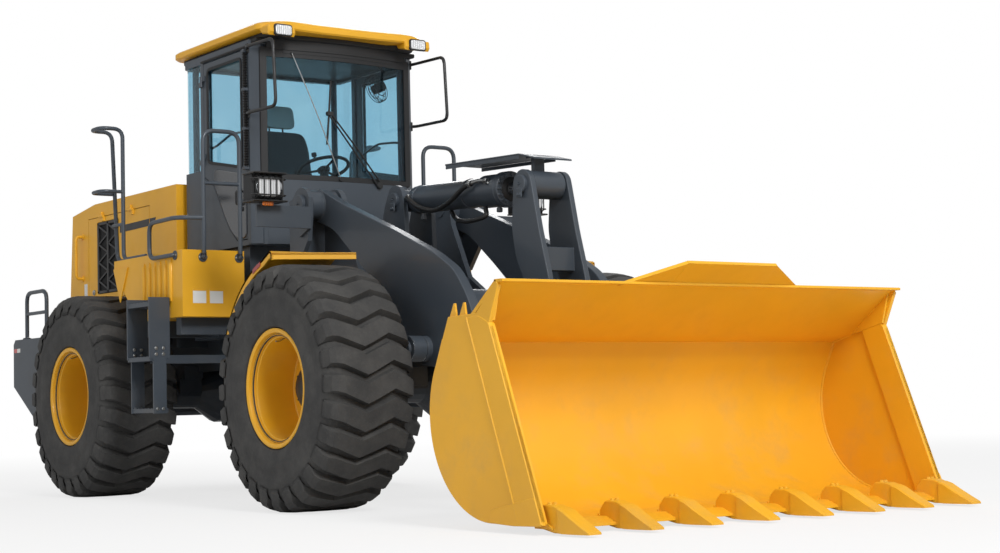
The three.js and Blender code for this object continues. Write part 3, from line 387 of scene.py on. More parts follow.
def moulded(name, colour, rough, grain=0.0005):
    """Moulded plastic or rubber with a fine leather grain."""
    f = Finish(name)
    base = np.array(linear(*colour))
    cloud = f.noise(4, 4)
    f.set(base_color=f.mix(tuple(base * 0.85), tuple(base * 1.15), cloud), roughness=rough + cloud * 0.1)
    f.relief(f.node("ShaderNodeTexVoronoi", None, {"Vector": f.place, "Scale": 420.0}), grain, 0.5, 0.0015)
    return f.material


def polished(name, colour, rough):
    """Bright steel with fine turning marks and faint oil film."""
    f = Finish(name)
    film = f.noise(6, 4).rise(0.4, 0.8)
    lines = f.noise(60, 2, stretch=(1.0, 12.0, 12.0))
    f.set(base_color=f.mix(linear(*colour), tuple(np.array(linear(*colour)) * 0.8), film), metallic=1.0,
          roughness=rough + film * 0.12)
    f.relief(lines, 0.0002, 0.3, 0.001)
    return f.material


def cab_glass(name):
    """Tinted safety glass: light passes through and takes the tint, under a faint film of dust."""
    f = Finish(name)
    film = f.noise(2.2, 5, 0.6).rise(0.4, 0.85)
    f.set(base_color=f.mix(linear(180, 214, 228), linear(192, 220, 230), film), roughness=film * 0.03,
          transmission_weight=1.0, ior=1.3)
    return f.material


def lens(name, colour, glow=0.0):
    """Lamp glass with a fluted pattern and a faint painted glow in its own colour."""
    f = Finish(name)
    ribs = f.node("ShaderNodeTexWave", {"bands_direction": "Y"},
                  {"Vector": f.place, "Scale": 18.0, "Distortion": 0.6})
    f.set(base_color=f.mix(linear(*colour), tuple(np.array(linear(*colour)) * 0.55), ribs),
          roughness=0.08 + ribs * 0.1, metallic=0.35, coat_weight=1.0,
          emission_color=linear(*colour), emission_strength=glow)
    f.relief(ribs, 0.003, 0.8)
    return f.material


def cloth(name, colour):
    """Woven seat cover: two crossed sets of threads over a soft cloudy tone."""
    f = Finish(name)
    warp = f.node("ShaderNodeTexWave", {"bands_direction": "Y"},
                  {"Vector": f.place, "Scale": 160.0, "Distortion": 1.5})
    weft = f.node("ShaderNodeTexWave", {"bands_direction": "Z"},
                  {"Vector": f.place, "Scale": 160.0, "Distortion": 1.5})
    base = np.array(linear(*colour))
    f.set(base_color=f.mix(tuple(base * 0.7), tuple(base * 1.3), warp * weft),
          roughness=0.92, sheen_weight=0.3)
    f.relief(warp * 0.5 + weft * 0.5, 0.0012, 0.6)
    return f.material


# the last number of each paint is the strength of its painted rim highlight
YELLOW = paint("yellow_enamel", (234, 173, 32), 0.42, 0.12, 0.18, 0.15)
GREY = paint("dark_grey_enamel", (62, 70, 79), 0.42, 0.20, 0.16, 0.30)
BLACK = paint("black_enamel", (26, 27, 29), 0.45, 0.15, 0.18, 0.25)
TYRE = rubber("tyre_rubber_finish")
PLASTIC = moulded("black_moulding", (30, 31, 33), 0.55)
HOSE = moulded("hose_rubber", (24, 24, 25), 0.42, 0.0003)
CHROME = polished("chromed_rod", (205, 208, 212), 0.10)
ZINC = polished("zinc_bolt", (176, 178, 178), 0.30)
GLASS = cab_glass("tinted_glass")
# painted glow: lamp glasses, amber lamps and red reflectors glow faintly with no lamp lit behind them
LAMP = lens("lamp_glass", (236, 238, 240), 0.15)
AMBER = lens("amber_glass", (230, 120, 20), 0.1)
RED = lens("red_reflector", (196, 38, 32), 0.05)
SEAT_CLOTH = cloth("seat_cloth", (52, 56, 60))
LABEL = moulded("blank_label", (226, 226, 222), 0.4, 0.0001)
GLOSS = paint("gloss_dark_enamel", (50, 54, 60), 0.14, 0.9, 0.10, 0.12)
# painted shade: near-black finish for the shaded recess behind the hood's side slats
RECESS_SHADE = moulded("painted_recess_shade", (15, 15, 16), 0.75)
PALE_TRIM = moulded("pale_headrest", (190, 194, 190), 0.6)

# the record's slots with their finishes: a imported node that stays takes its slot's first finish
FINISHES = {
    "yellow_paint": (YELLOW, LABEL),
    "grey_paint": (GREY, GLOSS),
    "black_plastic": (BLACK, PLASTIC, HOSE, SEAT_CLOTH, RECESS_SHADE, PALE_TRIM),
    "tyre_rubber": (TYRE,),
    "window_glass": (GLASS, LAMP, AMBER, RED),
    "chrome_steel": (CHROME, ZINC),
}
for part in frame["record"]["subparts"]:
    node = frame["nodes"][part["node"]]
    node.data.materials.clear()
    node.data.materials.append(FINISHES[part["material_slot"]][0])


# ------------------------------------------------------------------ wheels
WHEEL_R = 785.0
TREAD_LUGS = 28
AXLE = (0, 1, 0)         # direction that the wheels and the boom's pins turn about


def tyre_carcass(centre):
    """Sidewalls with moulded rings and the groove floor, one closed section turned about the axle."""
    half = [(332, 250), (381, 257), (392, 284), (425, 296), (468, 299.5), (520, 300), (526, 298),
            (575, 297.5), (581, 299.5), (620, 297), (668, 288), (706, 268), (728, 236), (738, 190), (742, 95),
            (744, 0)]
    mirrored = [(r, -y) for r, y in half[-2::-1]]
    return turned(half + mirrored, centre, AXLE, 112, True)


def tyre_lugs(centre):
    """Strips of trapezium section from shoulder to shoulder that zigzag round the tyre, evenly spaced."""
    y = np.array([-300, -299, -290, -264, -226, -160, -60, 0, 60, 130, 200, 240, 266, 290, 299, 300.0])
    top = np.array([640, 684, 736, 769, 781, 784, 785, 785, 785, 785, 783, 779, 768, 736, 684, 640.0])
    base = np.array([636, 660, 690, 715, 728, 736, 740, 740, 740, 740, 737, 730, 716, 690, 660, 636.0])
    shift = np.interp(y, [-300, -230, -60, 130, 300], [18, 12, -52, 36, -34])
    wide = np.interp(np.abs(y), [0, 200, 300], [62, 56, 46])
    t = np.linspace(0, 2 * math.pi, TREAD_LUGS, endpoint=False)
    angle = lambda arc_mm: t[:, None] + arc_mm[None, :] / WHEEL_R
    corners = [(base, shift - wide - 16), (top, shift - wide), (top, shift + wide), (base, shift + wide + 16)]
    place = lambda r, a: np.stack([r * np.cos(a), np.broadcast_to(y, a.shape), r * np.sin(a)], -1)
    rings = np.stack([place(r, angle(s)) for r, s in corners], 2)
    return merge(*[loft(lug + centre) for lug in rings])


def rim_shell(centre, out):
    """Flange, lock ring and gutter, then the deep barrel, the disc and the inner flange.

    The outer side is out times the axle.
    """
    section = [(333, 249), (374, 259), (380, 266), (380, 274), (374, 279), (366, 279), (352, 272), (349, 262),
               (349, 254), (344, 251), (339, 253), (336, 248), (336, 236), (331, 231), (322, 226), (319, 214),
               (318, 150), (318, -36), (312, -42), (192, -46), (118, -46), (118, -68), (318, -70),
               (318, -226), (331, -248), (352, -272), (366, -279), (380, -274), (380, -266), (333, -250),
               (325, -200), (325, 200)]
    return turned([(r, y * out) for r, y in section], centre, AXLE, 112, True)


def hub_cap(centre, out):
    """Planet carrier: a flange, a drum and a cap with three steps, turned about the axle."""
    section = [(0.5, -40), (190, -44), (190, -34), (172, -30), (158, -28), (150, 22), (142, 38), (112, 46),
               (104, 66), (96, 72), (52, 74), (46, 84), (0.5, 86)]
    drum = turned([(r, y * out) for r, y in section], centre, AXLE, 64)
    ring = lambda count, r, h: [centre + np.array([r * math.cos(a), h * out, r * math.sin(a)])
                                for a in np.arange(count) * 2 * math.pi / count]
    return merge(drum, bolts(ring(20, 176, -32), (0, out, 0), 11, 16),
                 bolts(ring(10, 124, 42), (0, out, 0), 8, 12))


for end in ("front", "rear"):
    for side, s in SIDES.items():
        body = f"wheel_{end}_{side}"
        hub_at = joint_place(f"wheel_{end}_{side}_spin")
        piece(f"tread_{end}_{side}", merge(tyre_carcass(hub_at), tyre_lugs(hub_at)), TYRE, body, 28,
              [f"tyre_{end}_{side}"])
        piece(f"rim_shell_{end}_{side}", rim_shell(hub_at, s), YELLOW, body, 40,
              [f"rim_{end}_{side}"])
        piece(f"planet_hub_{end}_{side}", hub_cap(hub_at, s), BLACK, body, 40)
        valve = smooth([hub_at + [0, s * out, up] for out, up in ((200, 316), (232, 300), (262, 296))], 5)
        piece(f"valve_{end}_{side}", pipe(valve, 5.0, 10), ZINC, body)


# ------------------------------------------------------------------ hydraulic cylinders and pins
def softened(outline, bend, per_bend=5):
    """Closed outline whose corners are quadratic curves that start and end a bend's length away."""
    p = np.asarray(outline, float)
    before, after = np.roll(p, 1, 0), np.roll(p, -1, 0)
    reach = lambda q: np.minimum(bend, np.linalg.norm(q - p, axis=1) * 0.45)[:, None]
    a = p + (before - p) / np.linalg.norm(before - p, axis=1)[:, None] * reach(before)
    b = p + (after - p) / np.linalg.norm(after - p, axis=1)[:, None] * reach(after)
    t = np.linspace(0, 1, per_bend + 1)[None, :, None]
    curve = (1 - t) ** 2 * a[:, None] + 2 * t * (1 - t) * p[:, None] + t**2 * b[:, None]
    return curve.reshape(-1, 2)


def oblong(y, z, half_wide, half_high, bend, per_bend):
    """Rectangle about a centre, its corners softened."""
    return softened([(y - half_wide, z - half_high), (y + half_wide, z - half_high),
                     (y + half_wide, z + half_high), (y - half_wide, z + half_high)], bend, per_bend)


def ring_of(count, centre, axis, radius, lift):
    """Evenly spaced places on a circle about an axis, lifted along it."""
    axis = np.asarray(axis, float)
    u, v = square_to(axis)
    t = np.arange(count) * 2 * math.pi / count
    return [np.asarray(centre) + axis * lift + radius * (u * math.cos(a) + v * math.sin(a)) for a in t]


def sleeve(at, axis, inner, steps, segments=56):
    """Ring of one inner radius whose outside follows (radius, distance) pairs along an axis."""
    return turned([(inner, steps[0][1]), *steps, (inner, steps[-1][1])], at, axis, segments, True)


LIFT = dict(radius=76, rod=42, length=1240, gland=90, start=66, eye=82, reach=1558.7, heads=10, tail=0.45,
            eye_half=50, neck=44, eye_axis=AXLE)
STEER = dict(radius=44, rod=22, length=610, gland=50, start=60, eye=40, reach=945, heads=6, tail=0.54,
             eye_half=30, neck=4, eye_axis=(0, 0, 1))
TILT = dict(radius=96, rod=46, length=1205, gland=260, start=112, eye=88, reach=1541.2, heads=12, tail=0.45,
            eye_half=120, neck=44, eye_axis=AXLE)
CYLINDER_Y = {"lift": 690, "steer": 430}


def cylinder(name, kind, side, y, radius, rod, length, gland, start, eye, reach, heads, tail, eye_half, neck,
             eye_axis):
    """Barrel sleeve with gland, head bolts and ports, the bright rod with its wiper ring, and the rod's eye.

    Distances run along the cylinder from the barrel's pin. The rod starts at tail times the barrel's length.
    """
    tag = f"_{side}" if side else ""
    barrel_body, rod_body = f"{kind}_barrel{tag}", f"{kind}_rod{tag}"
    at = joint_place(f"{barrel_body}_swing") * [1, 0, 1] + [0, y, 0]
    axis = np.array(JOINTS[f"{rod_body}_slide"]["axis"], float)
    step = radius + 12.6
    shell = sleeve(at, axis, rod + 4, [(radius * 0.62, start - 8), (radius + 0.7, start + 4),
                                       (radius + 0.7, length - gland - 8), (step, length - gland),
                                       (step, length - 14), (radius + 4, length - 6),
                                       (radius + 4, length + 2)])
    rings = [sleeve(at, axis, radius - 2, [(radius + 5, d), (radius + 5, d + 16)])
             for d in (start + 46, length * 0.62)]
    head = bolts(ring_of(heads, at, axis, radius - 6, length + 1), axis, 9, 12)
    fitting = [(17, radius - 12), (17, radius + 20), (22, radius + 20), (22, radius + 44), (15, radius + 48)]
    port = lambda d: turned(fitting, at + axis * d, np.cross(axis, [0, -1, 0]), 6)
    piece(f"{name}_shell", merge(shell, *rings, head, port(start + 60), port(length - gland * 0.5)), GREY,
          barrel_body, 30)
    start_of_rod = length * tail
    bright = turned([(rod * 0.9, start_of_rod), (rod + 0.6, start_of_rod + 6), (rod + 0.6, reach - 60)],
                    at, axis, 56)
    piece(f"{name}_bright_rod", bright, CHROME, rod_body, 30)
    wiper = sleeve(at, axis, rod + 1.2, [(radius - 16, length + 2), (rod + 10, length + 16)])
    piece(f"{name}_wiper", wiper, PLASTIC, barrel_body, 30)
    far = at + axis * reach
    bearing = turned([(eye * 0.5, -eye_half - 1), (eye - 4, -eye_half - 1), (eye + 0.8, -eye_half + 4),
                      (eye + 0.8, eye_half - 4), (eye - 4, eye_half + 1), (eye * 0.5, eye_half + 1)],
                     far, eye_axis, 48)
    collar = turned([(rod + 14, -eye - neck), (rod + 20, -eye - neck * 0.7), (rod + 20, -eye + 10)],
                    far, axis, 40)
    piece(f"{name}_rod_eye", merge(bearing, collar), GREY, rod_body, 30)


for side, s in SIDES.items():
    cylinder(f"lift_cylinder_{side}", "lift", side, s * CYLINDER_Y["lift"], **LIFT)
    cylinder(f"steering_cylinder_{side}", "steer", side, s * CYLINDER_Y["steer"], **STEER)
cylinder("tilt_cylinder", "tilt", "", 0, **TILT)
TILT_AXIS = np.array(JOINTS["tilt_rod_slide"]["axis"], float)
TILT_PIN = joint_place("tilt_barrel_swing")
flange = sleeve(TILT_PIN, TILT_AXIS, 90,
                [(112, 1128), (118, 1132), (118, 1160), (114, 1164), (114, 1170), (118, 1174), (118, 1200),
                 (112, 1204)])
flange_bolts = bolts(ring_of(16, TILT_PIN, TILT_AXIS, 104, 1203), TILT_AXIS, 8, 12)
piece("tilt_flange", merge(flange, flange_bolts), GREY, "tilt_barrel", 30)


def pin_cap(at, out, radius, thick, lock=True):
    """Pin end: a chamfered disc with a grease nipple, and a lock plate held by two bolts."""
    at, away = np.asarray(at, float), (0, out, 0)
    face = [(radius, 0), (radius, thick - 5), (radius - 5, thick), (12, thick), (10, thick - 4),
            (1, thick - 4)]
    nipple = [(6, 0), (6, 8), (3.5, 10), (3.5, 18), (1, 19)]
    parts = [turned(face, at, away, 44), turned(nipple, at + [0, out * (thick - 6), 0], away, 12)]
    if lock:
        x, y, z = at[0], at[1] + out * (thick + 5), at[2] - radius
        plate = [(x - 26, z - 26), (x + 26, z - 26), (x + 26, at[2] - radius * 0.45),
                 (x - 26, at[2] - radius * 0.45)]
        parts.append(slab(plate, y, y - out * 10, "xz", 2))
        parts.append(bolts([(x + dx, y, z - 10) for dx in (-13, 13)], away, 8, 8))
    return merge(*parts)


BOOM_PIN = joint_place("boom_lift")
BUCKET_PIN = joint_place("bucket_tilt")
CRANK_PIN = joint_place("bellcrank_turn")
LINK_PIN = joint_place("link_turn")
LIFT_PIN = joint_place("lift_barrel_right_swing") * [1, 0, 1]
CRANK_TOP = TILT_PIN + TILT_AXIS * TILT["reach"]
CRANK_LOW = np.array([2860.0, 0, 477])
LIFT_EYE = np.array([2175.0, 0, 1012])

# pin, place, distance out to each side, radius, thickness, whether it has a lock plate, and its body
PIN_CAPS = [("boom_pin_cap", BOOM_PIN, 735, 66, 26, True, "front"),
            ("lift_pin_cap", LIFT_PIN, 742, 50, 20, True, "front"),
            ("tilt_pin_cap", TILT_PIN, 130, 52, 20, True, "front"),
            ("lift_eye_cap", LIFT_EYE, 741, 50, 18, False, "lift_rod"),
            ("crank_top_cap", CRANK_TOP, 165, 58, 22, True, "bellcrank"),
            ("crank_pin_cap", CRANK_PIN, 205, 62, 14, False, "crank_pin"),
            ("crank_low_cap", CRANK_LOW, 165, 50, 20, True, "bellcrank"),
            ("link_pin_cap", LINK_PIN, 180, 50, 12, False, "link_pin"),
            ("bucket_pin_cap", BUCKET_PIN, 669, 62, 12, False, "bucket_pins")]
for side, s in SIDES.items():
    for cap, centre, out, radius, thick, lock, body in PIN_CAPS:
        body = f"lift_rod_{side}" if body == "lift_rod" else body
        piece(f"{cap}_{side}", pin_cap(centre + [0, s * out, 0], s, radius, thick, lock), GREY, body)


def pin_stack(centre, steps):
    """Shaft and thrust discs on one axis: (radius, from, to) drums with chamfered rims."""
    drum = lambda r, a, b: turned([(r - 4, a), (r, a + 4), (r, b - 4), (r - 4, b)], centre, AXLE, 52)
    return merge(*[drum(*step) for step in steps])


both_ways = lambda r, a, b: [(r, a, b), (r, -b, -a)]
crank_drums = [(40, -180, 180), (120, -50, 50), *both_ways(120, 100, 120), *both_ways(100, 170, 205)]
piece("crank_pin_drums", pin_stack(CRANK_PIN, crank_drums), GREY, "crank_pin", 30, ["crank_pin"])
piece("link_pin_shaft", pin_stack(LINK_PIN, [(36.5, -180, 180)]), GREY, "link_pin", 30, ["link_pin"])
for side, s in SIDES.items():
    drums = [(r, *sorted((s * a, s * b))) for r, a, b in ((42, 476, 654), (105, 466, 489), (105, 641, 669))]
    piece(f"bucket_pin_drums_{side}", pin_stack(BUCKET_PIN, drums), GREY, "bucket_pins", 30,
          [f"bucket_pin_{side}"])


def tilt_guard():
    """Plate over the tilt rod on its post, with a turned-down edge along each side."""
    plate = [(1772, 2262), (2600, 2232), (2768, 2190), (2768, 2179), (2600, 2221), (1772, 2251)]
    post = merge(brick((2588, 2622), (-40, 40), (2090, 2226), 4),
                 brick((2560, 2650), (-60, 60), (2208, 2222), 3))
    edge = [slab([(1780, 2250), (2600, 2220), (2600, 2196), (1780, 2226)], s * 144, s * 149.5, "xz", 1)
            for s in (-1, 1)]
    return merge(slab(plate, -150, 150, "xz", 3), post, *edge, weld([(2584, -40, 2222), (2584, 40, 2222)], 5))


piece("tilt_guard", tilt_guard(), GREY, "tilt_rod", 30, ["tilt_rod"])


# ------------------------------------------------------------------ boom, bellcrank and bucket link
CROSS_TUBE = (2440, 1270)   # x, z of the tube that joins the arms


def eye_arc(centre, radius, start, end, steps=20):
    """Outline points on an arc about a pin."""
    return [tuple(p) for p in arc(centre[0], centre[2], radius, start, end, steps)]


def boom():
    """Two plate arms with softened outlines, their bosses and beads, the cross tube and the crank's lugs."""
    upper = [(1160, 2045), (1830, 1800), (2280, 1620), (2500, 1500), (2640, 1330), (2760, 1080), (2960, 760),
             (3180, 560)]
    lower = [(3100, 350), (2800, 520), (2560, 760), (2330, 885), (2190, 905), (2100, 915), (1985, 1060),
             (1790, 1285), (1360, 1640), (1050, 1875)]
    outline = softened([*eye_arc(BOOM_PIN, 112, 250, 80, 12), *upper, *eye_arc(BUCKET_PIN, 98, 70, -110, 12),
                        *lower], 70)
    boss = lambda at, s, r, a, b: turned([(r - 5, 0), (r, 5), (r, b - a - 5), (r - 5, b - a)],
                                         at + [0, s * a, 0], (0, s, 0), 52)
    bead = lambda x, z, y, r, size: weld([(px, y, pz) for px, pz in arc(x, z, r, 0, 360, 40)], size)
    lug = softened([(2440, 1365), *eye_arc(CRANK_PIN, 86, 80, -80, 10), (2440, 1175)], 12, 2)
    parts = []
    for s in (-1, 1):
        parts += [slab(outline, s * 530, s * 600, "xz", 4), boss(BOOM_PIN, s, 101, 475, 695),
                  boss(LIFT_EYE, s, 81, 590, 635), boss(BUCKET_PIN, s, 74, 526, 605),
                  bead(BOOM_PIN[0], BOOM_PIN[2], s * 601, 103, 5), bead(*CROSS_TUBE, s * 528, 108, 7),
                  slab(lug, s * 55, s * 95, "xz", 4)]
    parts.append(turned([(106, -536), (106, 536)], (CROSS_TUBE[0], 0, CROSS_TUBE[1]), AXLE, 56))
    return merge(*parts)


def bellcrank():
    """Two rocker plates with softened outlines and a spacer between them."""
    outline = softened([*eye_arc(CRANK_TOP, 95, 20, 185, 12), (2530, 1760), (2565, 1570), (2695, 1340),
                        (2680, 1230), (2695, 1090), *eye_arc(CRANK_LOW, 80, 190, 350, 12), (2940, 1120),
                        (2905, 1420), (2815, 1730)], 50)
    plates = [slab(outline, s * 125, s * 165, "xz", 4) for s in (-1, 1)]
    return merge(*plates, brick((2715, 2795), (-130, 130), (1475, 1625), 5))


def bucket_link():
    """Forged link: a bar that swells into an eye at each end."""
    length = np.linalg.norm(LINK_PIN - CRANK_LOW)
    along = (LINK_PIN - CRANK_LOW) / length
    waist = [(62, 20), (50, 110), (46, length * 0.5), (50, length - 110), (62, length - 20)]
    eyes = [turned([(62, -121), (69, -114), (69, 114), (62, 121)], at, AXLE, 48)
            for at in (CRANK_LOW, LINK_PIN)]
    return merge(turned(waist, CRANK_LOW, along, 40), *eyes)


piece("boom_plates", boom(), GREY, "boom", 30, ["boom"])
piece("bellcrank_plates", bellcrank(), GREY, "bellcrank", 30, ["bellcrank"])
piece("link_forging", bucket_link(), GREY, "bucket_link", 30, ["bucket_link"])


# ------------------------------------------------------------------ bucket
BUCKET_X, BUCKET_Z, BUCKET_R = 4119.0, 606.0, 561.0
BUCKET_HALF = 1500.0
BUCKET_FLOOR = BUCKET_Z - BUCKET_R


def belly(radius, start=270, end=155, steps=56):
    """Outline points on the rolled sheet's curve."""
    return [tuple(p) for p in arc(BUCKET_X, BUCKET_Z, radius, start, end, steps)]


def bucket():
    """Rolled sheet, two cheeks with thick leading strips, rear flange, folded spill guard and hinge ears."""
    half = BUCKET_HALF
    sheet = [(4420, BUCKET_FLOOR), *belly(BUCKET_R), (3690, 1010), (3860, 1055), (4190, 1300), (4205, 1285),
             (3872, 1033), (3707, 992), *belly(BUCKET_R - 20)[::-1], (4420, BUCKET_FLOOR + 20)]
    cheek = [(4543, BUCKET_FLOOR + 6), (4340, BUCKET_FLOOR), *belly(BUCKET_R), (3755, 1126), (4013, 1133),
             (4203, 1294), (4215, 1270), (4128, 1079)]
    strip = [(4543, 51), (4350, 51), (3930, 1115), (4040, 1120), (4128, 1079)]
    parts = [slab(sheet, 2 - half, half - 2, "xz", 1),
             brick((4180, 4250), (2 - half, half - 2), (1284, 1300), 3)]
    corner = softened([(4545, 46), (4300, 40), (4090, 48), (4120, 120), (4490, 190)], 25, 3)
    behind = lambda start, end: belly(BUCKET_R - 10, start, end, 14)
    ear = [*eye_arc(BUCKET_PIN, 95, 60, 240, 12), *behind(221.6, 163.8)]
    middle = [*eye_arc(LINK_PIN, 85, 60, 240, 12), *behind(199.7, 156), (3648, 900)]
    gusset = [(3868, 1040), (4190, 1296), (4130, 1090), (3905, 1036)]
    seam = [(4400, BUCKET_FLOOR + 22), *belly(BUCKET_R - 22), (3707, 990), (3868, 1035)]
    for s in (-1, 1):
        parts.append(slab(cheek, s * half, s * (half - 25), "xz", 2))
        parts.append(slab(softened(strip, 20, 3), s * (half + 3), s * (half - 40), "xz", 3))
        parts.append(weld([(x, s * (half - 27), z) for x, z in seam], 7))
        parts.append(weld([(4350, s * (half + 2), 54), (3932, s * (half + 2), 1112)], 6))
        parts.append(slab(corner, s * (half - 4), s * (half + 7), "xz", 3))
        parts += [slab(ear, s * a, s * b, "xz", 4) for a, b in ((494, 519), (611, 636))]
        parts.append(slab(middle, s * 130, s * 165, "xz", 4))
        wing_rear = [(4188, s * 690, 1290), (4372, s * 330, 1410), (4188, s * 250, 1290)]
        wing_front = [(4206, s * 690, 1276), (4386, s * 330, 1394), (4206, s * 250, 1276)]
        parts.append(loft(np.array([wing_rear, wing_front], float)))
        for x in (3790, 3880):
            tab = [(x - 34, 1118), (x + 34, 1118), (x + 20, 1196), (x + 8, 1196)]
            parts.append(slab(tab, s * (half - 8), s * (half - 20), "xz", 1))
        parts.append(slab(gusset, s * (half - 27), s * (half - 42), "xz", 2))
    deck = [(4188, 1290), (4206, 1274), (4388, 1394), (4374, 1410)]
    parts.append(weld([(3868, 30 - half, 1040), (3868, half - 30, 1040)], 6))
    parts.append(slab(deck, -335, 335, "xz", 2))
    parts.append(weld([(4186, 1 - half, 1282), (4186, half - 1, 1282)], 6))
    wear = [(4420, BUCKET_FLOOR - 2), (4160, BUCKET_FLOOR - 3), (4160, BUCKET_FLOOR + 6),
            (4420, BUCKET_FLOOR + 6)]
    parts.append(slab(wear, 60 - half, half - 60, "xz", 1))
    return merge(*parts)


def cutting_edge():
    """Bevelled blade with eight two-part teeth, each bolted through its shank."""
    half = BUCKET_HALF
    stations = np.array([4600, 4640, 4700, 4770, 4840.0])
    top = np.array([140, 128, 96, 62, 30.0])
    low = np.array([14, 12, 12, 13, 14.0])
    wide = np.array([46, 47, 46, 44, 41.0])
    corners = ((-1, low), (1, low), (1, top - 8), (0.8, top), (-0.8, top), (-1, top - 8))
    shank = softened([(4425, 30), (4425, 104), (4470, 151), (4560, 151), (4640, 124), (4640, 12), (4560, 12),
                      (4470, 28)], 14, 3)
    blade = [(4418, 30), (4418, 72), (4484, 72), (4562, 42), (4562, 30)]
    parts = [slab(blade, 45 - half, half - 45, "xz", 2)]
    for y in (np.arange(8) / 3.5 - 1) * (half - 95):
        parts.append(slab(shank, y - 38, y + 38, "xz", 6))
        parts.append(loft(np.stack([np.stack([stations, y + s * wide, z], -1) for s, z in corners], 1)))
        parts.append(bolts([(4505, y + d, 151) for d in (-16, 16)], (0, 0, 1), 12, 12))
        parts.append(weld([(4424, y - 44, 76), (4424, y + 44, 76)], 6))
    return merge(*parts)


piece("bucket_shell", bucket(), YELLOW, "bucket", 28, ["bucket"])
piece("bucket_teeth", cutting_edge(), YELLOW, "bucket", 30, ["cutting_edge"])


# ------------------------------------------------------------------ fenders
AXLE_X = 1650.0


def fender(s):
    """Sheet arched about the axle, with a deep lip along its outer and its raked front edge."""
    over = lambda r: [tuple(p) for p in arc(AXLE_X, WHEEL_R, r, 158, 108, 30)]
    inner, outer = 812.5, 1330
    rake = lambda y: 1700 - (abs(y) - inner) / (outer - inner) * 195
    front = lambda y, r, drop: [*over(r + 14), (1480, 1669), (rake(y), 1656), (rake(y), 1656 - drop),
                                (1480, 1669 - drop), *over(r + 14 - drop)[::-1]]
    ring = lambda y, drop: [(x, s * y, z) for x, z in front(y, 862, drop)]
    wall = lambda a, b, drop: loft(np.array([ring(a, drop), ring(b, drop)]))
    lip = [(rake(inner) - 12, inner), (rake(inner), inner), (rake(outer), outer), (rake(outer) - 12, outer)]
    apron = [(985, 1200), (1100, 1200), (1120, 1448), (1060, 1448)]
    return merge(wall(inner, outer, 14), wall(outer - 12, outer, 46),
                 slab([(x, s * y) for x, y in lip], 1612, 1657, "xy", 2),
                 slab(apron, s * inner, s * (inner + 12), "xz", 2),
                 bolts([(1100 - d * 20, s * (inner + 13), 1240 + d * 80) for d in range(3)],
                       (0, s, 0), 10, 9))


for side, s in SIDES.items():
    piece(f"fender_sheet_{side}", fender(s), YELLOW, "front", 30, [f"fender_{side}"])
    corner = arc(AXLE_X, WHEEL_R, 874, 117, 109.5, 6)
    strip = [tuple(p) for p in corner] + [(p[0] + 2, p[1] - 30) for p in corner[::-1]]
    piece(f"fender_reflector_{side}", slab(strip, s * 1331, s * 1335, "xz", 1), RED, "front")


# ------------------------------------------------------------------ hand rails and mirror bows
TUBE = 16.0
BOX_FRONT, BOX_OUT, BOX_TOP = 50.0, 1250.0, 1800.0


def rail_foot(at, axis, across):
    """Oval flange at the end of a rail, held by two bright bolts."""
    at, across = np.asarray(at, float), np.asarray(across, float)
    return disc(at, axis, 34, 8, 2, 32), [at + across * d + np.asarray(axis) * 8 for d in (-24, 24)]


def rails(name, paths, feet, body, hides):
    """Bent tubes, with flanges that hold them and their bolts."""
    tubes = [pipe(path, radius, 18) for path, radius in paths]
    plates, places = [], []
    for at, axis, across in feet:
        plate, spots = rail_foot(at, axis, across)
        plates.append(plate)
        places.append(bolts(spots, axis, 8, 8))
    piece(name, merge(*tubes, *plates), GREY, body, 40, hides)
    piece(f"{name}_bolts", merge(*places), ZINC, body, 30)


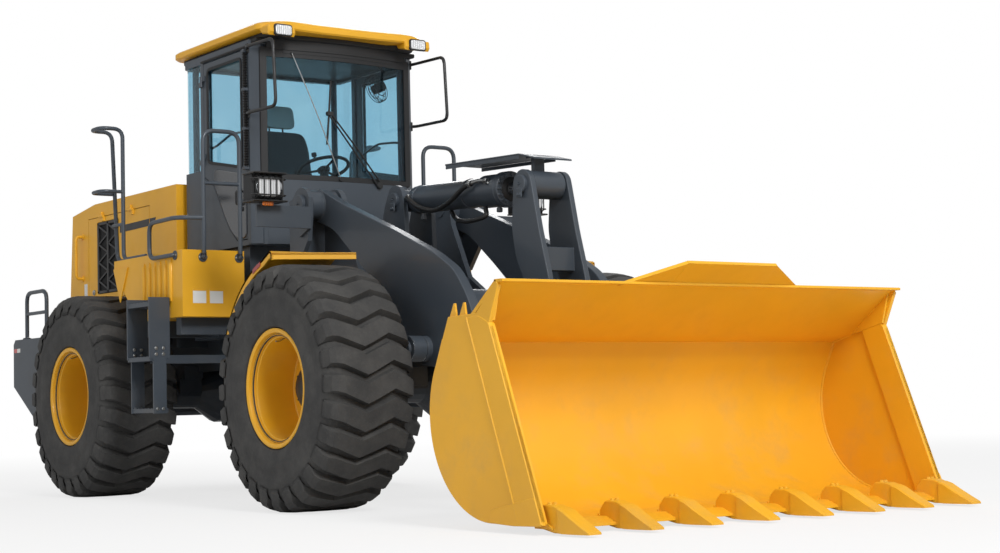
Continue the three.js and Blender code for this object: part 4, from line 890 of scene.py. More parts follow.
for side, s in SIDES.items():
    x, near, far, y = BOX_FRONT + 25, s * 800, s * 1090, s * (BOX_OUT + 28)
    loop = rounded([(x, near, 1748), (x, near, 2660), (x, far, 2660), (x, far, 1748)], 90)
    grab = rounded([(x, far, 2030), (0, y, 2030), (-430, y, 2025), (-430, y, 1765), (-60, y, 1765)], 80)
    elbow = [rounded([(x, v, 1775), (x, v, 1748), (BOX_FRONT + 1, v, 1748)], 24) for v in (near, far)]
    heel = rounded([(-75, y, 1765), (-60, y, 1765), (-60, s * BOX_OUT, 1765)], 14)
    rails(f"front_rail_{side}",
          [(loop, TUBE), (np.array([(x, near, 2280), (x, (near + far) / 2, 2280), (x, far, 2280)]), TUBE - 2),
           (grab, TUBE), (elbow[0], TUBE), (elbow[1], TUBE), (heel, TUBE)],
          [((BOX_FRONT, near, 1748), (1, 0, 0), (0, 1, 0)), ((BOX_FRONT, far, 1748), (1, 0, 0), (0, 1, 0)),
           ((-60, s * BOX_OUT, 1765), (0, s, 0), (1, 0, 0))], "rear", [f"door_rail_{side}"])
    low = BOX_TOP + 30
    a, b = s * 1100, s * 1280
    frame_path = rounded([(-1000, s * 960, low), (-1480, s * 1060, low), (-1480, a, 2850), (-1480, b, 2850),
                          (-1280, b, 2850), (-1280, a, 2850), (-1280, a, low), (-880, a, low)], 75)
    step_ring = rounded([(-1480, a, 2360), (-1480, b, 2360), (-1280, b, 2360), (-1280, a, 2360)], 70)
    tie = np.array([(-1480, a - s * 3, 2110), (-1380, a, 2110), (-1280, a, 2110)])
    stubs = [np.array([(-1000, s * 960, low), (-1000, s * 960, low - 15), (-1000, s * 960, BOX_TOP + 1)]),
             np.array([(-895, a, low), (-895, a, low - 15), (-895, a, BOX_TOP + 1)])]
    rails(f"back_rail_{side}",
          [(frame_path, TUBE), (step_ring, TUBE - 2), (tie, TUBE - 3), *[(p, 18) for p in stubs]],
          [((-1000, s * 960, BOX_TOP), (0, 0, 1), (1, 0, 0)), ((-895, a, BOX_TOP), (0, 0, 1), (1, 0, 0))],
          "rear", [f"rear_rail_{side}"])
    ty = s * 1120
    tail = rounded([(-3240, ty, 1290), (-3240, ty, 1690), (-2800, ty, 1690), (-2800, ty, 1290)], 90)
    rails(f"tail_rail_{side}",
          [(tail, TUBE + 1), (np.array([(-3240, ty, 1510), (-3020, ty, 1510), (-2800, ty, 1510)]), 15)],
          [((-3240, ty, 1299), (0, 0, 1), (1, 0, 0)), ((-2800, ty, 1299), (0, 0, 1), (1, 0, 0))], "rear", [])
    root, out = s * 695, s * 735
    bow = rounded([(50, root, 3290), (80, out, 3300), (490, out, 3290), (520, out, 2800), (80, out, 2810),
                   (50, root, 2810)], 60)
    brackets = [brick((36, 66), (s * 698, s * 716), (z - 35, z + 35), 3) for z in (3292, 2810)]
    piece(f"mirror_bow_{side}", merge(pipe(bow, 12, 16), *brackets), BLACK, "rear", 40)


# ------------------------------------------------------------------ cab
CAB_HALF, CAB_NOSE = 700.0, 190.0
CAB_FLOOR, CAB_TOP, ROOF_TOP, SILL = 1850.0, 3360.0, 3485.0, 2340.0
PANE_TOP = 3296          # upper edge of the windshield


def nose_x(y, back=0.0):
    """x of the cab's curved front face: it falls away from the middle as a power of the distance."""
    return CAB_NOSE - 25 * (np.abs(y) / 350) ** 1.61 - back


def curved_strip(y_low, y_high, z_low, z_high, front, back, steps=28):
    """Upright sheet that follows the cab's front between two distances from its face."""
    y = np.linspace(y_low, y_high, steps)
    a, b = nose_x(y, front), nose_x(y, back)
    lower, upper = np.full(steps, z_low), np.full(steps, z_high)
    ring = lambda x, z: np.stack([x, y, z], 1)
    return loft(np.stack([ring(a, lower), ring(a, upper), ring(b, upper), ring(b, lower)], 1))


def gasket(outline, y, out, wide=11.0, proud=6.0):
    """Rubber bead round an upright side window."""
    ring = softened(outline, 40, 4)
    path = np.stack([ring[:, 0], np.full(len(ring), y), ring[:, 1]], 1)
    tangent = np.roll(path, -1, 0) - np.roll(path, 1, 0)
    tangent /= np.linalg.norm(tangent, axis=1)[:, None]
    inward = np.cross(tangent, [0, out, 0])
    corners = [(-wide, -2), (-wide, proud), (wide, proud), (wide, -2)]
    return loft(np.stack([path + inward * a + np.array([0, out * b, 0]) for a, b in corners], 1), True)


DOOR_GLASS = [(-65, 2430), (-610, 2530), (-610, 3240), (-65, 3240)]


def door_skin(s):
    """Lower panel of a door, below the window line: a flat plate with chamfered rims."""
    low = softened([(-2, 1904), (-146, 1904), (-256, 1988), (-345, 2098), (-424, 2228), (-510, 2342),
                    (-520, 2470), (-2, 2372)], 60, 6)
    y = s * CAB_HALF
    return slab(low, y - s * 4, y + s * 9, "xz", 5)


def cab_fronts():
    """Sill and header over the shell's facets."""
    bands = ((CAB_FLOOR + 2, SILL + 4), (PANE_TOP, CAB_TOP - 1))
    return merge(*[curved_strip(-600, 600, low, high, -2.5, 16) for low, high in bands])


piece("cab_front_sill", cab_fronts(), GREY, "rear", 30)
frame_bars = [curved_strip(-638, 638, SILL - 12, SILL + 26, -5, 12),
              curved_strip(-638, 638, 3232, 3300, -5, 12)]
for s in (-1, 1):
    frame_bars.append(curved_strip(s * 646, s * 596, SILL, 3300, -5, 12))
piece("windshield_gasket", merge(*frame_bars), PLASTIC, "rear", 30)
piece("windshield_pane", curved_strip(-636, 636, SILL + 4, PANE_TOP, 4, 11), GLASS, "rear", 30,
      ["windshield"])

for side, s in SIDES.items():
    y = s * CAB_HALF
    body = f"cab_door_{side}"
    piece(f"door_panel_{side}", door_skin(s), GLOSS, body, 40)
    piece(f"door_gasket_{side}", gasket(DOOR_GLASS, y, s), PLASTIC, body, 30)
    grip = rounded([(-86, y + s * 10, 2152), (-86, y + s * 44, 2160), (-86, y + s * 44, 2250),
                    (-86, y + s * 10, 2258)], 14)
    lock = turned([(17, 0), (17, 8), (9, 12), (3, 12)], (-60, y + s * 9, 2120), (0, s, 0), 24)
    piece(f"door_grip_{side}",
          merge(pipe(grip, 9, 12), lock, brick((-104, -68), (y, y + s * 14), (2130, 2280), 4)),
          PLASTIC, body, 40)
    bar_path = rounded([(-600, y - s * 34, 2640), (-560, y - s * 60, 2660), (-330, y - s * 60, 2720),
                        (-80, y - s * 60, 2700), (-40, y - s * 34, 2690)], 60)
    piece(f"door_inner_rail_{side}", pipe(bar_path, 9, 10), GREY, body, 40)
    corner = slab([(52, y - s * 96), (8, y - s * 2), (14, y + s * 5), (62, y + s * 4), (118, s * 634),
                   (106, s * 600)], CAB_FLOOR + 3, CAB_TOP - 3, "xy", 4)
    piece(f"corner_post_{side}", corner, GREY, "rear", 40)
    piece(f"door_gutter_{side}", brick((-700, 40), (y, y + s * 16), (3302, 3318), 5), PLASTIC, "rear")


def ribbed_duct(x, y, z_low, z_high, radius, turns):
    """Corrugated sleeve: a round section whose radius ripples along its height."""
    z = np.linspace(z_low, z_high, turns * 6 + 1)
    sway = 5 * np.sin((z - z_low) / 150)
    ripple = 4.5 * np.cos((z - z_low) * 2 * math.pi * turns / (z_high - z_low))
    return pipe(np.stack([x + sway, np.full(len(z), y), z], 1), radius + ripple, 14)


duct_y = -CAB_HALF - 22
piece("cable_duct", ribbed_duct(34, duct_y, 2420, 3270, 15, 44), HOSE, "rear", 50)
clips = [brick((14, 54), (-CAB_HALF - 42, -CAB_HALF - 1), (z - 12, z + 12), 4)
         for z in (2410, 2700, 2990, 3275)]
piece("duct_clips", merge(*clips), GREY, "rear")


def wiper(pivot, elbow, top, low):
    """Two parallel arms from a spindle to a carrier that holds a blade against the glass."""
    p = [np.array([nose_x(y) + off, y, z]) for y, z, off in (pivot, elbow, top, low)]
    spindle = disc(p[0] + [-18, 0, 0], (1, 0, 0), 26, 34, 6, 24)
    arms = [pipe([p[0] + [6, d, 0], (p[0] + p[1]) / 2 + [10, d, 0], p[1] + [0, d * 0.6, 0]], 6.5, 10)
            for d in (-22, 22)]
    x, y, z = p[1]
    carrier = brick((x - 12, x + 12), (y - 26, y + 26), (z - 16, z + 16), 4)
    blade = pipe([p[2], (p[2] + p[3]) / 2 + [3, 0, 0], p[3]], 7, 8)
    rubber_edge = pipe([p[2] - [9, 0, 0], (p[2] + p[3]) / 2 - [6, 0, 0], p[3] - [9, 0, 0]], 4.5, 8)
    return merge(spindle, *arms, carrier, blade, rubber_edge)


blade_stops = (330, 2318, 14), (-112, 2830, 24), (-92, 3080, 14), (-132, 2600, 14)
piece("front_wiper", wiper(*blade_stops), PLASTIC, "rear", 40)
whip = np.array([[nose_x(-20) + 10, -20, 2352], [nose_x(-215) + 24, -215, 2820],
                 [nose_x(-400) + 12, -400, 3262]])
piece("marker_rod", pipe(smooth(whip, 10), 4, 8), ZINC, "rear", 40)
sockets = [disc((nose_x(-20) + 2, -20, 2345), (1, 0, 0), 16, 18, 3, 20),
           disc((nose_x(-400) + 2, -400, 3265), (1, 0, 0), 12, 12, 3, 20)]
piece("rod_sockets", merge(*sockets), PLASTIC, "rear")


def cooling_fan():
    """Round fan in its cage, hung from the roof lining in the front left corner."""
    at, axis = np.array([20.0, 420, 3090]), np.array([-0.9, -0.35, -0.25])
    axis = axis / np.linalg.norm(axis)
    rings = [turned([(r - 4, -3), (r, 0), (r - 4, 3), (r - 7, 0)], at + axis * h, axis, 32, True)
             for r, h in ((110, -20), (112, 0), (110, 20), (70, 30), (70, -30))]
    motor = turned([(1, -70), (36, -66), (40, -20), (34, 30), (1, 36)], at, axis, 24)
    stalk = pipe([at - axis * 50, at - axis * 50 + [0, 10, 110], [at[0] - 20, at[1] + 20, 3318]], 10, 10)
    u, v = square_to(axis)
    spokes = [pipe([at + axis * 30, at + axis * 26 + (u * math.cos(a) + v * math.sin(a)) * 60,
                    at + (u * math.cos(a) + v * math.sin(a)) * 110], 2.5, 6)
              for a in np.arange(12) * math.pi / 6]
    return merge(*rings, motor, stalk, *spokes)


piece("cab_fan", cooling_fan(), PLASTIC, "rear", 40)


def cushion(x, y, z, bulge, tilt=0.0, count=18):
    """Crowned pad: a box of points pushed out over its faces and pulled in along its seams."""
    (xa, xb), (ya, yb), (za, zb) = x, y, z
    theta, phi = np.meshgrid(np.linspace(0, 2 * math.pi, count * 3, endpoint=False),
                             np.sin(np.linspace(-math.pi / 2, math.pi / 2, count * 2)))
    blunt = lambda wave: np.sign(wave) * np.abs(wave) ** 0.28
    flat = blunt(np.cos(theta)), blunt(np.sin(theta))
    across = np.cos(phi * math.pi / 2) ** 0.22
    rise = np.sign(phi) * np.abs(np.sin(phi * math.pi / 2)) ** 0.6
    seam = 1 - 0.012 * np.exp(-(phi / 0.06) ** 2)
    px = (xa + xb) / 2 + (xb - xa) / 2 * flat[0] * across * seam
    py = (ya + yb) / 2 + (yb - ya) / 2 * flat[1] * across * seam
    crown = bulge * (1 - flat[0] ** 2 * across**2) * (1 - flat[1] ** 2 * across**2)
    pz = (za + zb) / 2 + (zb - za) / 2 * rise + np.sign(phi) * crown
    px = px + (pz - za) * tilt
    return loft(np.stack([px, py, pz], -1)[1:-1])


def pad(name, solid, stands_for=()):
    """Foam part of the seat in its woven cover."""
    obj = piece(name, solid, SEAT_CLOTH, "rear", 60, stands_for)


pad("seat_cushion", cushion((-770, -275), (-240, 240), (2185, 2300), 14), ["seat"])
pad("seat_back", cushion((-700, -600), (-232, 232), (2300, 2830), 0, -0.24))
head = cushion((-805, -735), (-135, 135), (2860, 3040), 0, -0.2)
piece("head_rest", head, PALE_TRIM, "rear", 60)
seat_base = [brick((-700, -430), (-195, 195), (1902, 2020), 10),
             brick((-660, -470), (-150, 150), (2018, 2178), 6)]
seat_base += [pipe([(-815, y, 2800), (-822, y, 2870), (-826, y, 2900)], 7, 8) for y in (-60, 60)]
seat_base += [brick((-720, -330), (-478, -302), (1902, 2392), 18),
              brick((-720, -330), (302, 478), (1902, 2300), 18)]
lever = [(16, 0), (12, 90), (20, 130), (24, 160), (10, 176)]
seat_base += [turned(lever, (-470 + d, -390, 2390), (0.1, 0, 1), 16) for d in (0, 70)]
piece("seat_frame", merge(*seat_base), PLASTIC, "rear", 40)


def steering_wheel():
    """Padded rim, three spokes and a spinner knob on a leaning column."""
    centre = np.array([-90.0, 0, 2462])
    up = np.array([-math.sin(0.35), 0, math.cos(0.35)])
    side, ahead = np.array([0, 1.0, 0]), np.cross([0, 1.0, 0], up)
    at = lambda r, a, h=0: centre + up * h + (side * math.cos(a) + ahead * math.sin(a)) * r
    ring = hoop(centre, up, 192, 13, 12, 48)
    spokes = [pipe([at(20, a, -12), at(110, a, -10), at(184, a)], 9, 10) for a in (math.pi / 2, -2.6, -0.55)]
    hub = turned([(1, -30), (46, -26), (50, -4), (38, 6), (1, 8)], centre, up, 28)
    column = pipe([[0, 0, 1930.0], [-20, 0, 2080], [-60, 0, 2300], centre - up * 26],
                  np.array([70, 58, 40, 32.0]), 16)
    knob = turned([(1, 0), (9, 2), (9, 22), (20, 30), (20, 52), (1, 58)], at(192, 2.4), up, 16)
    dash = brick((-60, 70), (-150, 150), (2230, 2370), 24)
    foot = brick((-60, 60), (-88, 88), (1902, 1962), 8)
    pedals = [brick((40, 120), (y - 40, y + 40), (1930, 1950), 5) for y in (-200, 200)]
    return merge(ring, *spokes, hub, column, knob, dash, foot, *pedals)


piece("steering_wheel", steering_wheel(), PLASTIC, "rear", 50, ["steering_column"])


# ------------------------------------------------------------------ cab roof and its lamps
def roof():
    """Lid with rounded corners and a crown, and a front edge that rises between the two lamp corners."""
    half = 720
    plan = softened([(-1200, 62 - half), (-1138, -half), (240, -half), (358, 140 - half), (330, -252),
                     (330, 252), (358, half - 140), (240, half), (-1138, half), (-1200, half - 62)], 70, 5)
    shrink = lambda k, m: np.stack([-420 + (plan[:, 0] + 420) * k, plan[:, 1] * m], 1)
    stations = [(shrink(0.985, 0.98), 36), (plan, 48), (plan, 82), (shrink(0.985, 0.975), 96),
                (shrink(0.93, 0.90), 112), (shrink(0.80, 0.76), 121), (shrink(0.5, 0.45), 124.5)]
    return loft(np.stack([np.column_stack([p, np.full(len(p), CAB_TOP + rise)]) for p, rise in stations]))


def roof_corner(s):
    """Drooping corner hood that houses a lamp."""
    y = s * 590
    section = [(356, CAB_TOP + 60), (362, CAB_TOP + 10), (346, CAB_TOP - 14), (250, CAB_TOP + 6),
               (200, CAB_TOP + 60)]
    return slab(section, y - s * 118, y + s * 108, "xz", 10)


def corner_lamp(s):
    """Rectangular work lamp let into the front of a roof corner."""
    y, z = s * 580, 3385
    shell = slab(oblong(y, z, 74, 43, 22, 4), 352, 372, "yz", 4)
    return shell, slab(oblong(y, z, 64, 34, 18, 4), 370, 378, "yz", 3)


piece("roof_lid", merge(roof(), roof_corner(-1), roof_corner(1)), YELLOW, "rear", 40, ["cab_roof"])
liner = softened([(-1150, -650), (200, -650), (300, -560), (196, -420), (226, 0), (196, 420), (300, 560),
                  (200, 650), (-1150, 650)], 60, 5)
piece("roof_liner", slab(liner, CAB_TOP + 1, CAB_TOP + 38, "xy", 5), PLASTIC, "rear", 40)
visor = merge(curved_strip(-600, 600, 3286, CAB_TOP + 4, -14, 6), curved_strip(-470, 470, 3262, 3292, -8, 6))
piece("front_visor", visor, PLASTIC, "rear", 40)
for side, s in SIDES.items():
    shell, glass = corner_lamp(s)
    piece(f"roof_lamp_shell_{side}", shell, PLASTIC, "rear", 40)
    piece(f"roof_lamp_glass_{side}", glass, LAMP, "rear", 40)
    bracket = brick((60, 150), (s * 560, s * 690), (CAB_TOP - 30, CAB_TOP + 2), 5)
    piece(f"roof_lamp_bracket_{side}", bracket, PLASTIC, "rear")
    rear_lamp = slab(oblong(s * 520, 3365, 60, 35, 18, 3), -1204, -1180, "yz", 4)
    piece(f"rear_roof_lamp_{side}", rear_lamp, LAMP, "rear", 40)
eyes = []
for x in (-900, -120):
    eyes += [hoop((x, -560, ROOF_TOP - 2), AXLE, 20, 6, 10, 28),
             disc((x, -560, ROOF_TOP - 38), (0, 0, 1), 22, 14, 3, 24)]
piece("lifting_eyes", merge(*eyes), ZINC, "rear", 50)


# ------------------------------------------------------------------ headlights and their guards
HEADLIGHT_Y, HEADLIGHT_Z = 1100, 2140


def headlight(s):
    """Rounded housing, two round reflectors behind one glass, and a cage of bars."""
    y, z_mid = s * HEADLIGHT_Y, HEADLIGHT_Z
    oval = lambda a, h: oblong(y, z_mid, a, h, 46, 5)
    square = lambda a, h: oblong(y, z_mid, a, h, 6, 2)
    shell = merge(slab(square(118, 92), 926, 1044, "yz", 2), slab(square(94, 68), 1040, 1062, "yz", 2),
                  slab(oval(100, 74), 1056, 1068, "yz", 4))
    bowl = [(1, 0), (34, 5), (50, 18), (53, 22), (50, 24), (1, 22)]
    bowls = [turned(bowl, (1052, y + d, z_mid), (1, 0, 0), 32) for d in (-46, 46)]
    glass = slab(oval(88, 62), 1062, 1076, "yz", 6)
    bars = [pipe([(1044, y + d, 2226), (1092, y + d, 2200), (1092, y + d, 2080), (1044, y + d, 2054)], 5, 8)
            for d in np.arange(-2, 3) * 46.0]
    bow = ((1040, -128), (1088, -122), (1088, 122), (1040, 128))
    hoops = [pipe(rounded([(x, y + d, z) for x, d in bow], 22), 5, 8) for z in (2086, 2194)]
    visor = brick((930, 1094), (y - 128, y + 128), (2228, 2240), 4)
    floor = brick((930, 1094), (y - 128, y + 128), (2040, 2052), 4)
    return shell, merge(*bowls), glass, merge(*bars, *hoops, visor, floor)


for side, s in SIDES.items():
    shell, bowls, glass, cage = headlight(s)
    piece(f"headlight_shell_{side}", shell, PLASTIC, "front", 40)
    piece(f"headlight_bowls_{side}", bowls, CHROME, "front", 40)
    piece(f"headlight_glass_{side}", glass, LAMP, "front", 40)
    piece(f"headlight_cage_{side}", cage, BLACK, "front", 40)
    marker = slab(oblong(s * HEADLIGHT_Y, 2029, 40, 13, 8, 3), 1040, 1056, "yz", 4)
    piece(f"turn_lamp_{side}", marker, AMBER, "front", 40)


# ------------------------------------------------------------------ hood
HOOD_HALF = 750.0
DOOR_LOW, DOOR_HIGH = 1606.0, 2294.0


def lattice(s):
    """Two uprights and a zigzag of flat slats over a dark recess."""
    y = s * (HOOD_HALF + 1)
    z_low, z_high = DOOR_LOW + 44, DOOR_HIGH - 44
    rows = 7
    z = np.linspace(z_low + 30, z_high - 30, rows + 1)
    bars = [brick((x - 14, x + 14), (y - s * 8, y + s * 6), (z_low, z_high), 4)
            for x in (-2566, -2370, -2174)]
    bars += [brick((-2580, -2160), (y - s * 8, y + s * 6), (v - 12, v + 12), 4)
             for v in (z_low + 12, z_high - 12)]
    for k in range(rows):
        for left, right in ((-2560, -2376), (-2364, -2180)):
            a, b = (z[k], z[k + 1]) if k % 2 else (z[k + 1], z[k])
            slat = [(left, a - 9), (right, b - 9), (right, b + 9), (left, a + 9)]
            bars.append(slab(slat, y - s * 6, y + s * 4, "xz", 2))
    return merge(*bars)


for side, s in SIDES.items():
    body, y = f"hood_door_{side}", s * HOOD_HALF
    piece(f"side_lattice_{side}", lattice(s), BLACK, body, 30)
    # painted shade: a near-black sheet behind the slats stands for the shaded recess
    recess_shade = brick((-2578, -2162), (y - s * 11.5, y - s * 8), (DOOR_LOW + 42, DOOR_HIGH - 42), 1)
    piece(f"side_recess_shade_{side}", recess_shade, RECESS_SHADE, body)
    knob = [(24, 0), (24, 6), (16, 9), (1, 9)]
    latch = [merge(turned(knob, (x, y + s * 0.5, DOOR_LOW + 60), (0, s, 0), 28),
                   brick((x - 5, x + 5), (y + s * 8, y + s * 16), (DOOR_LOW + 44, DOOR_LOW + 76), 2))
             for x in (-2660, -1680)]
    piece(f"hood_latches_{side}", merge(*latch), ZINC, body)
    on_door = [(-2130, 2128), (-1566, 2134), (-1566, 2192), (-2130, 2186)]
    on_hood = [(-1554, 2134), (-1470, 2135), (-1440, 2193), (-1554, 2192)]
    piece(f"door_stripe_{side}", slab(on_door, y, y + s * 2, "xz", 0.6), BLACK, body)
    piece(f"hood_stripe_{side}", slab(on_hood, y, y + s * 2, "xz", 0.6), BLACK, "rear")
    grab = rounded([(-2905, y + s * 2, 1800), (-2905, y + s * 62, 1800), (-2905, y + s * 62, 2160),
                    (-2905, y + s * 2, 2160)], 45)
    feet = [disc((-2905, y, z), (0, s, 0), 26, 7, 2, 24) for z in (1800, 2160)]
    piece(f"hood_grab_{side}", merge(pipe(grab, 13, 14), *feet), YELLOW, "rear", 40)
    piece(f"blank_plate_{side}", brick((-2870, -2810), (y, y + s * 2), (1640, 1750), 0.8), LABEL, "rear")

LEAN = math.atan2(65, 734)


def rear_face(y, z, out=0.0):
    """Point on the hood's leaning rear face."""
    return np.array([-3180 + (z - 1620) * math.tan(LEAN) - out, y, z])


bars = []
for z in np.arange(1730, 2236, 42):
    section = [rear_face(0, z, -3), rear_face(0, z + 4, 12), rear_face(0, z + 12, 14),
               rear_face(0, z + 22, -3)]
    bars.append(loft(np.stack([[p + [0, y, 0] for p in section] for y in (-560, 560)])))
bars += [loft(np.stack([[rear_face(y + dy, z, o) for dy, o in ((-16, -3), (-16, 16), (16, 16), (16, -3))]
                        for z in (1715, 2238)])) for y in (-566, 0, 566)]
piece("rear_grille_bars", merge(*bars), BLACK, "rear_grille", 30)
handle = rounded([rear_face(-470, 1900, 2), rear_face(-470, 1900, 50), rear_face(-470, 2060, 50),
                  rear_face(-470, 2060, 2)], 22)
piece("rear_grille_handle", pipe(handle, 10, 12), ZINC, "rear_grille", 40)


def exhaust():
    """Silencer can with end rings, and a tail pipe cut at a slant."""
    at = (-1750, 330, 0)
    can = turned([(60, 2416), (84, 2420), (84, 2436), (80, 2440), (80, 2546), (84, 2550), (84, 2562),
                  (58, 2580), (56, 2600), (56, 2860)], at, (0, 0, 1), 48)
    bend = smooth([(-1750, 330, 2850), (-1756, 330, 2890), (-1790, 330, 2930), (-1850, 330, 2962)], 6)
    tail = pipe(bend, 56, 32)
    mouth = disc((-1846, 330, 2960), (-0.86, 0, 0.5), 45, 8, 2, 32)
    return merge(can, tail), mouth


can, mouth = exhaust()
piece("exhaust_stack", can, BLACK, "rear", 40, ["exhaust"])
piece("exhaust_mouth", mouth, PLASTIC, "rear")


# ------------------------------------------------------------------ platforms, ladders and counterweight
for side, s in SIDES.items():
    y = s * BOX_OUT
    louvres = []
    for i in range(6):
        x = -135 - 90 * i
        hood_path = np.array([(x, y - s * 4, 1446), (x, y - s * 2, 1470), (x, y - s * 2, 1710),
                              (x, y - s * 4, 1734)])
        louvres.append(pipe(hood_path, np.array([6, 19, 19, 6.0]), 14))
    piece(f"louvres_{side}", merge(*louvres), YELLOW, "rear", 50)
    on_front = lambda near, far, low: merge(*[
        brick((BOX_FRONT + near, BOX_FRONT + far), (s * (c - 52), s * (c + 52)), (low, 1522), 0.5)
        for c in (1118, 985)])
    piece(f"blank_labels_{side}", on_front(0, 1.5, 1418), LABEL, "rear")
    piece(f"label_bands_{side}", on_front(1, 2.6, 1506), YELLOW, "rear")
    studs = [disc((x, s * v, BOX_TOP - 0.5), (0, 0, 1), 9, 4, 2, 10)
             for x in np.arange(-1060, 0, 70) for v in range(800, 1221, 70)]
    piece(f"deck_studs_{side}", merge(*studs), YELLOW, "rear")
    gusset = [(-1118, 1738), (-860, 1738), (-1000, 1480)]
    piece(f"step_gusset_{side}", slab(gusset, y, y + s * 10, "xz", 2), YELLOW, "rear")
    pattern = ((1312, 1062), (1368, 1062), (1312, 1104), (1368, 1104), (1318, 672), (1362, 672))
    spots = [(x + 7, s * v, z) for x in (-150, -520) for v, z in pattern]
    piece(f"ladder_bolts_{side}", bolts(spots, (1, 0, 0), 10, 9), ZINC, "rear")
    teeth = [brick((x - 12, x + 12), (s * 1284, s * (1275 + deep - 10)), (z + 14, z + 20), 2)
             for z, deep in ((1420, 140), (1030, 140), (660, 110)) for x in np.arange(-485, -160, 54)]
    piece(f"step_teeth_{side}", merge(*teeth), GREY, "rear")
    mark = lambda a, b: brick((a, b), (s * 1200, s * 1203), (1180, 1214), 0.8)
    piece(f"rear_reflector_{side}", mark(-3330, -3262), RED, "rear")
    piece(f"rear_reflector_pale_{side}", mark(-3260, -3196), LABEL, "rear")
    lamp = slab(oblong(s * 1000, 1160, 80, 40, 16, 3), -3356, -3346, "yz", 3)
    piece(f"tail_lamp_{side}", lamp, RED, "rear", 40)
hitch_pin = turned([(34, 0), (34, 30), (24, 36), (1, 36)], (-3340, 0, 1036), (0, 0, 1), 28)
piece("tow_hitch", merge(brick((-3352, -3320), (-160, 160), (880, 1060), 8), hitch_pin), GREY, "rear", 40)


# ------------------------------------------------------------------ rigid lines beside the tilt cylinder
def beside_tilt(distance, out, up):
    """Place beside the tilt cylinder: along its axis, to one side, and off it upwards."""
    return TILT_PIN + TILT_AXIS * distance + np.array([0, out, 0]) + np.cross(TILT_AXIS, [0, 1.0, 0]) * up


def line(stops, radius, sides=14, per_span=8):
    """Tube through places beside the tilt cylinder, each given as distance, side and height."""
    return pipe(smooth([beside_tilt(*stop) for stop in stops], per_span), radius, sides)


right_stops = [(130, -108, 10), (190, -132, -10), (330, -148, -70), (520, -150, -104), (700, -146, -60),
               (840, -136, 20), (930, -122, 52)]
under_stops = [(1000, -60, -112), (1040, -90, -170), (900, -110, -196), (700, -60, -180), (560, 0, -150),
               (500, 10, -104)]
steel_stops = [(900, -126, 44), (980, -116, 62), (1060, -108, 60), (1090, -96, 40)]
piece("tilt_line_right", line(right_stops, 17), HOSE, "tilt_barrel", 50)
piece("tilt_line_under", line(under_stops, 16), HOSE, "tilt_barrel", 50)
nuts = [turned([(20, -18), (22, -14), (22, 14), (20, 18)], beside_tilt(*stop), TILT_AXIS, 6)
        for stop in ((905, -126, 46), (1070, -106, 56), (130, -104, 10))]
piece("tilt_fittings", merge(line(steel_stops, 12, 12, 6), *nuts), ZINC, "tilt_barrel", 40)


# ------------------------------------------------------------------ lights, floor and camera
def soft_lamp(name, at, aim, size, power):
    """Round area lamp turned towards a point; it doesn't show through glass."""
    lamp = bpy.data.lights.new(name, "AREA")
    lamp.shape, lamp.size, lamp.energy = "DISK", size, power
    obj = bpy.data.objects.new(name, lamp)
    obj.location = at
    obj.rotation_euler = (Vector(aim) - Vector(at)).to_track_quat("-Z", "Y").to_euler()
    obj.visible_transmission = False
    bpy.context.scene.collection.objects.link(obj)


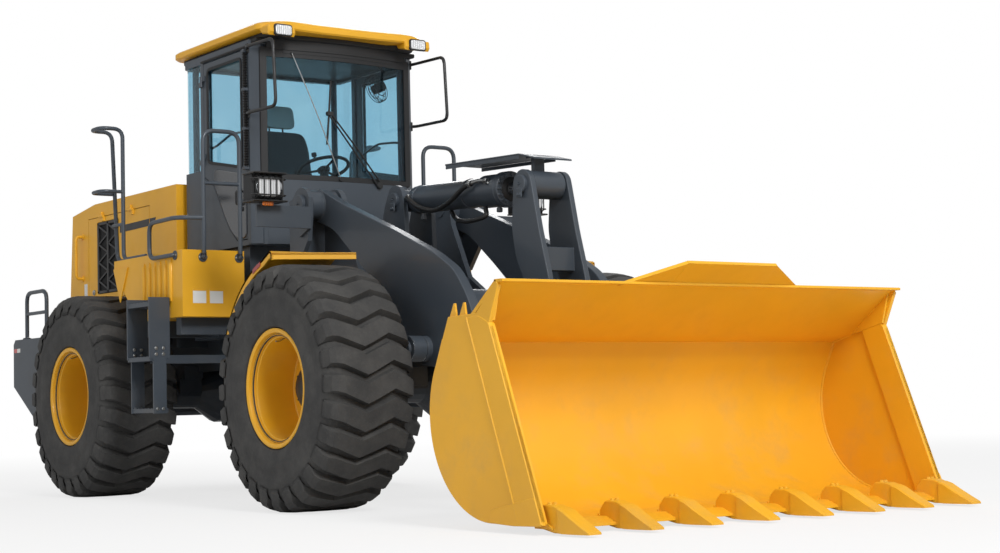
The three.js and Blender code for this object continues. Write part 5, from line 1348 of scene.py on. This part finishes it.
def stage():
    """Pale floor that glows to the camera, more so far away, under a white world and three soft lamps."""
    mesh = bpy.data.meshes.new("floor")
    mesh.from_pydata([(-90, -90, 0), (90, -90, 0), (90, 90, 0), (-90, 90, 0)], [], [(0, 1, 2, 3)])
    floor = bpy.data.objects.new("floor", mesh)
    f = Finish("pale_floor")
    f.set(base_color=(0.72, 0.72, 0.72), roughness=0.9)
    seen = f.node("ShaderNodeLightPath", output="Is Camera Ray")
    glow = f.node("ShaderNodeEmission", None, {"Color": (1.0, 1.0, 1.0), "Strength": 1.0})
    base = Field(f, f.shader.outputs[0])
    away = (f.axis(0) * f.axis(0) + f.axis(1) * f.axis(1)) ** 0.5
    both = f.node("ShaderNodeMixShader", None, [seen * (0.74 + away.rise(6.5, 17.0) * 0.26), base, glow])
    f.tree.links.new(both.socket, f.tree.nodes["Material Output"].inputs["Surface"])
    mesh.materials.append(f.material)
    bpy.context.scene.collection.objects.link(floor)
    world = bpy.data.worlds.new("studio")
    world.use_nodes = True
    bpy.context.scene.world = world
    tree = world.node_tree
    back = tree.nodes["Background"]
    path = tree.nodes.new("ShaderNodeLightPath")
    either = tree.nodes.new("ShaderNodeMath")
    either.operation = "MAXIMUM"
    tree.links.new(path.outputs["Is Camera Ray"], either.inputs[0])
    tree.links.new(path.outputs["Is Transmission Ray"], either.inputs[1])
    level = tree.nodes.new("ShaderNodeMapRange")
    level.inputs["To Min"].default_value = 0.50
    level.inputs["To Max"].default_value = 1.0
    tree.links.new(either.outputs[0], level.inputs["Value"])
    tree.links.new(level.outputs[0], back.inputs["Strength"])
    back.inputs["Color"].default_value = (1, 1, 1, 1)
    soft_lamp("key", (14, -2.5, 9.5), (0.5, 0, 1.2), 5, 1600)
    soft_lamp("side", (2, -14, 7), (0, 0, 1.2), 6, 230)
    soft_lamp("back", (-11, 7, 8), (0, 0, 1.5), 6, 600)


CAMERA_PLACE = (CENTRE + 11.736, -6.921, 0.680)                # metres
CAMERA_TURN = [math.radians(a) for a in (54.13, 3.89, -1.41)]   # yaw, pitch, roll
CAMERA_LENS = 65.1                                              # mm, on a sensor 36 mm wide


def camera():
    """Camera low in front of the right wheel, turned by yaw, pitch and roll."""
    data = bpy.data.cameras.new("camera")
    data.sensor_width, data.lens = 36.0, CAMERA_LENS
    data.clip_end = 200
    yaw, pitch, roll = CAMERA_TURN
    right = Vector((math.cos(yaw), math.sin(yaw), 0))
    ahead = Vector((-math.sin(yaw) * math.cos(pitch), math.cos(yaw) * math.cos(pitch), math.sin(pitch)))
    up = right.cross(ahead)
    turn = Matrix((right, up, -ahead)).transposed() @ Matrix.Rotation(roll, 3, "Z")
    obj = bpy.data.objects.new("camera", data)
    obj.matrix_world = Matrix.Translation(CAMERA_PLACE) @ turn.to_4x4()
    bpy.context.scene.collection.objects.link(obj)
    bpy.context.scene.camera = obj


stage()
camera()
bpy.context.scene.view_settings.view_transform = "Standard"
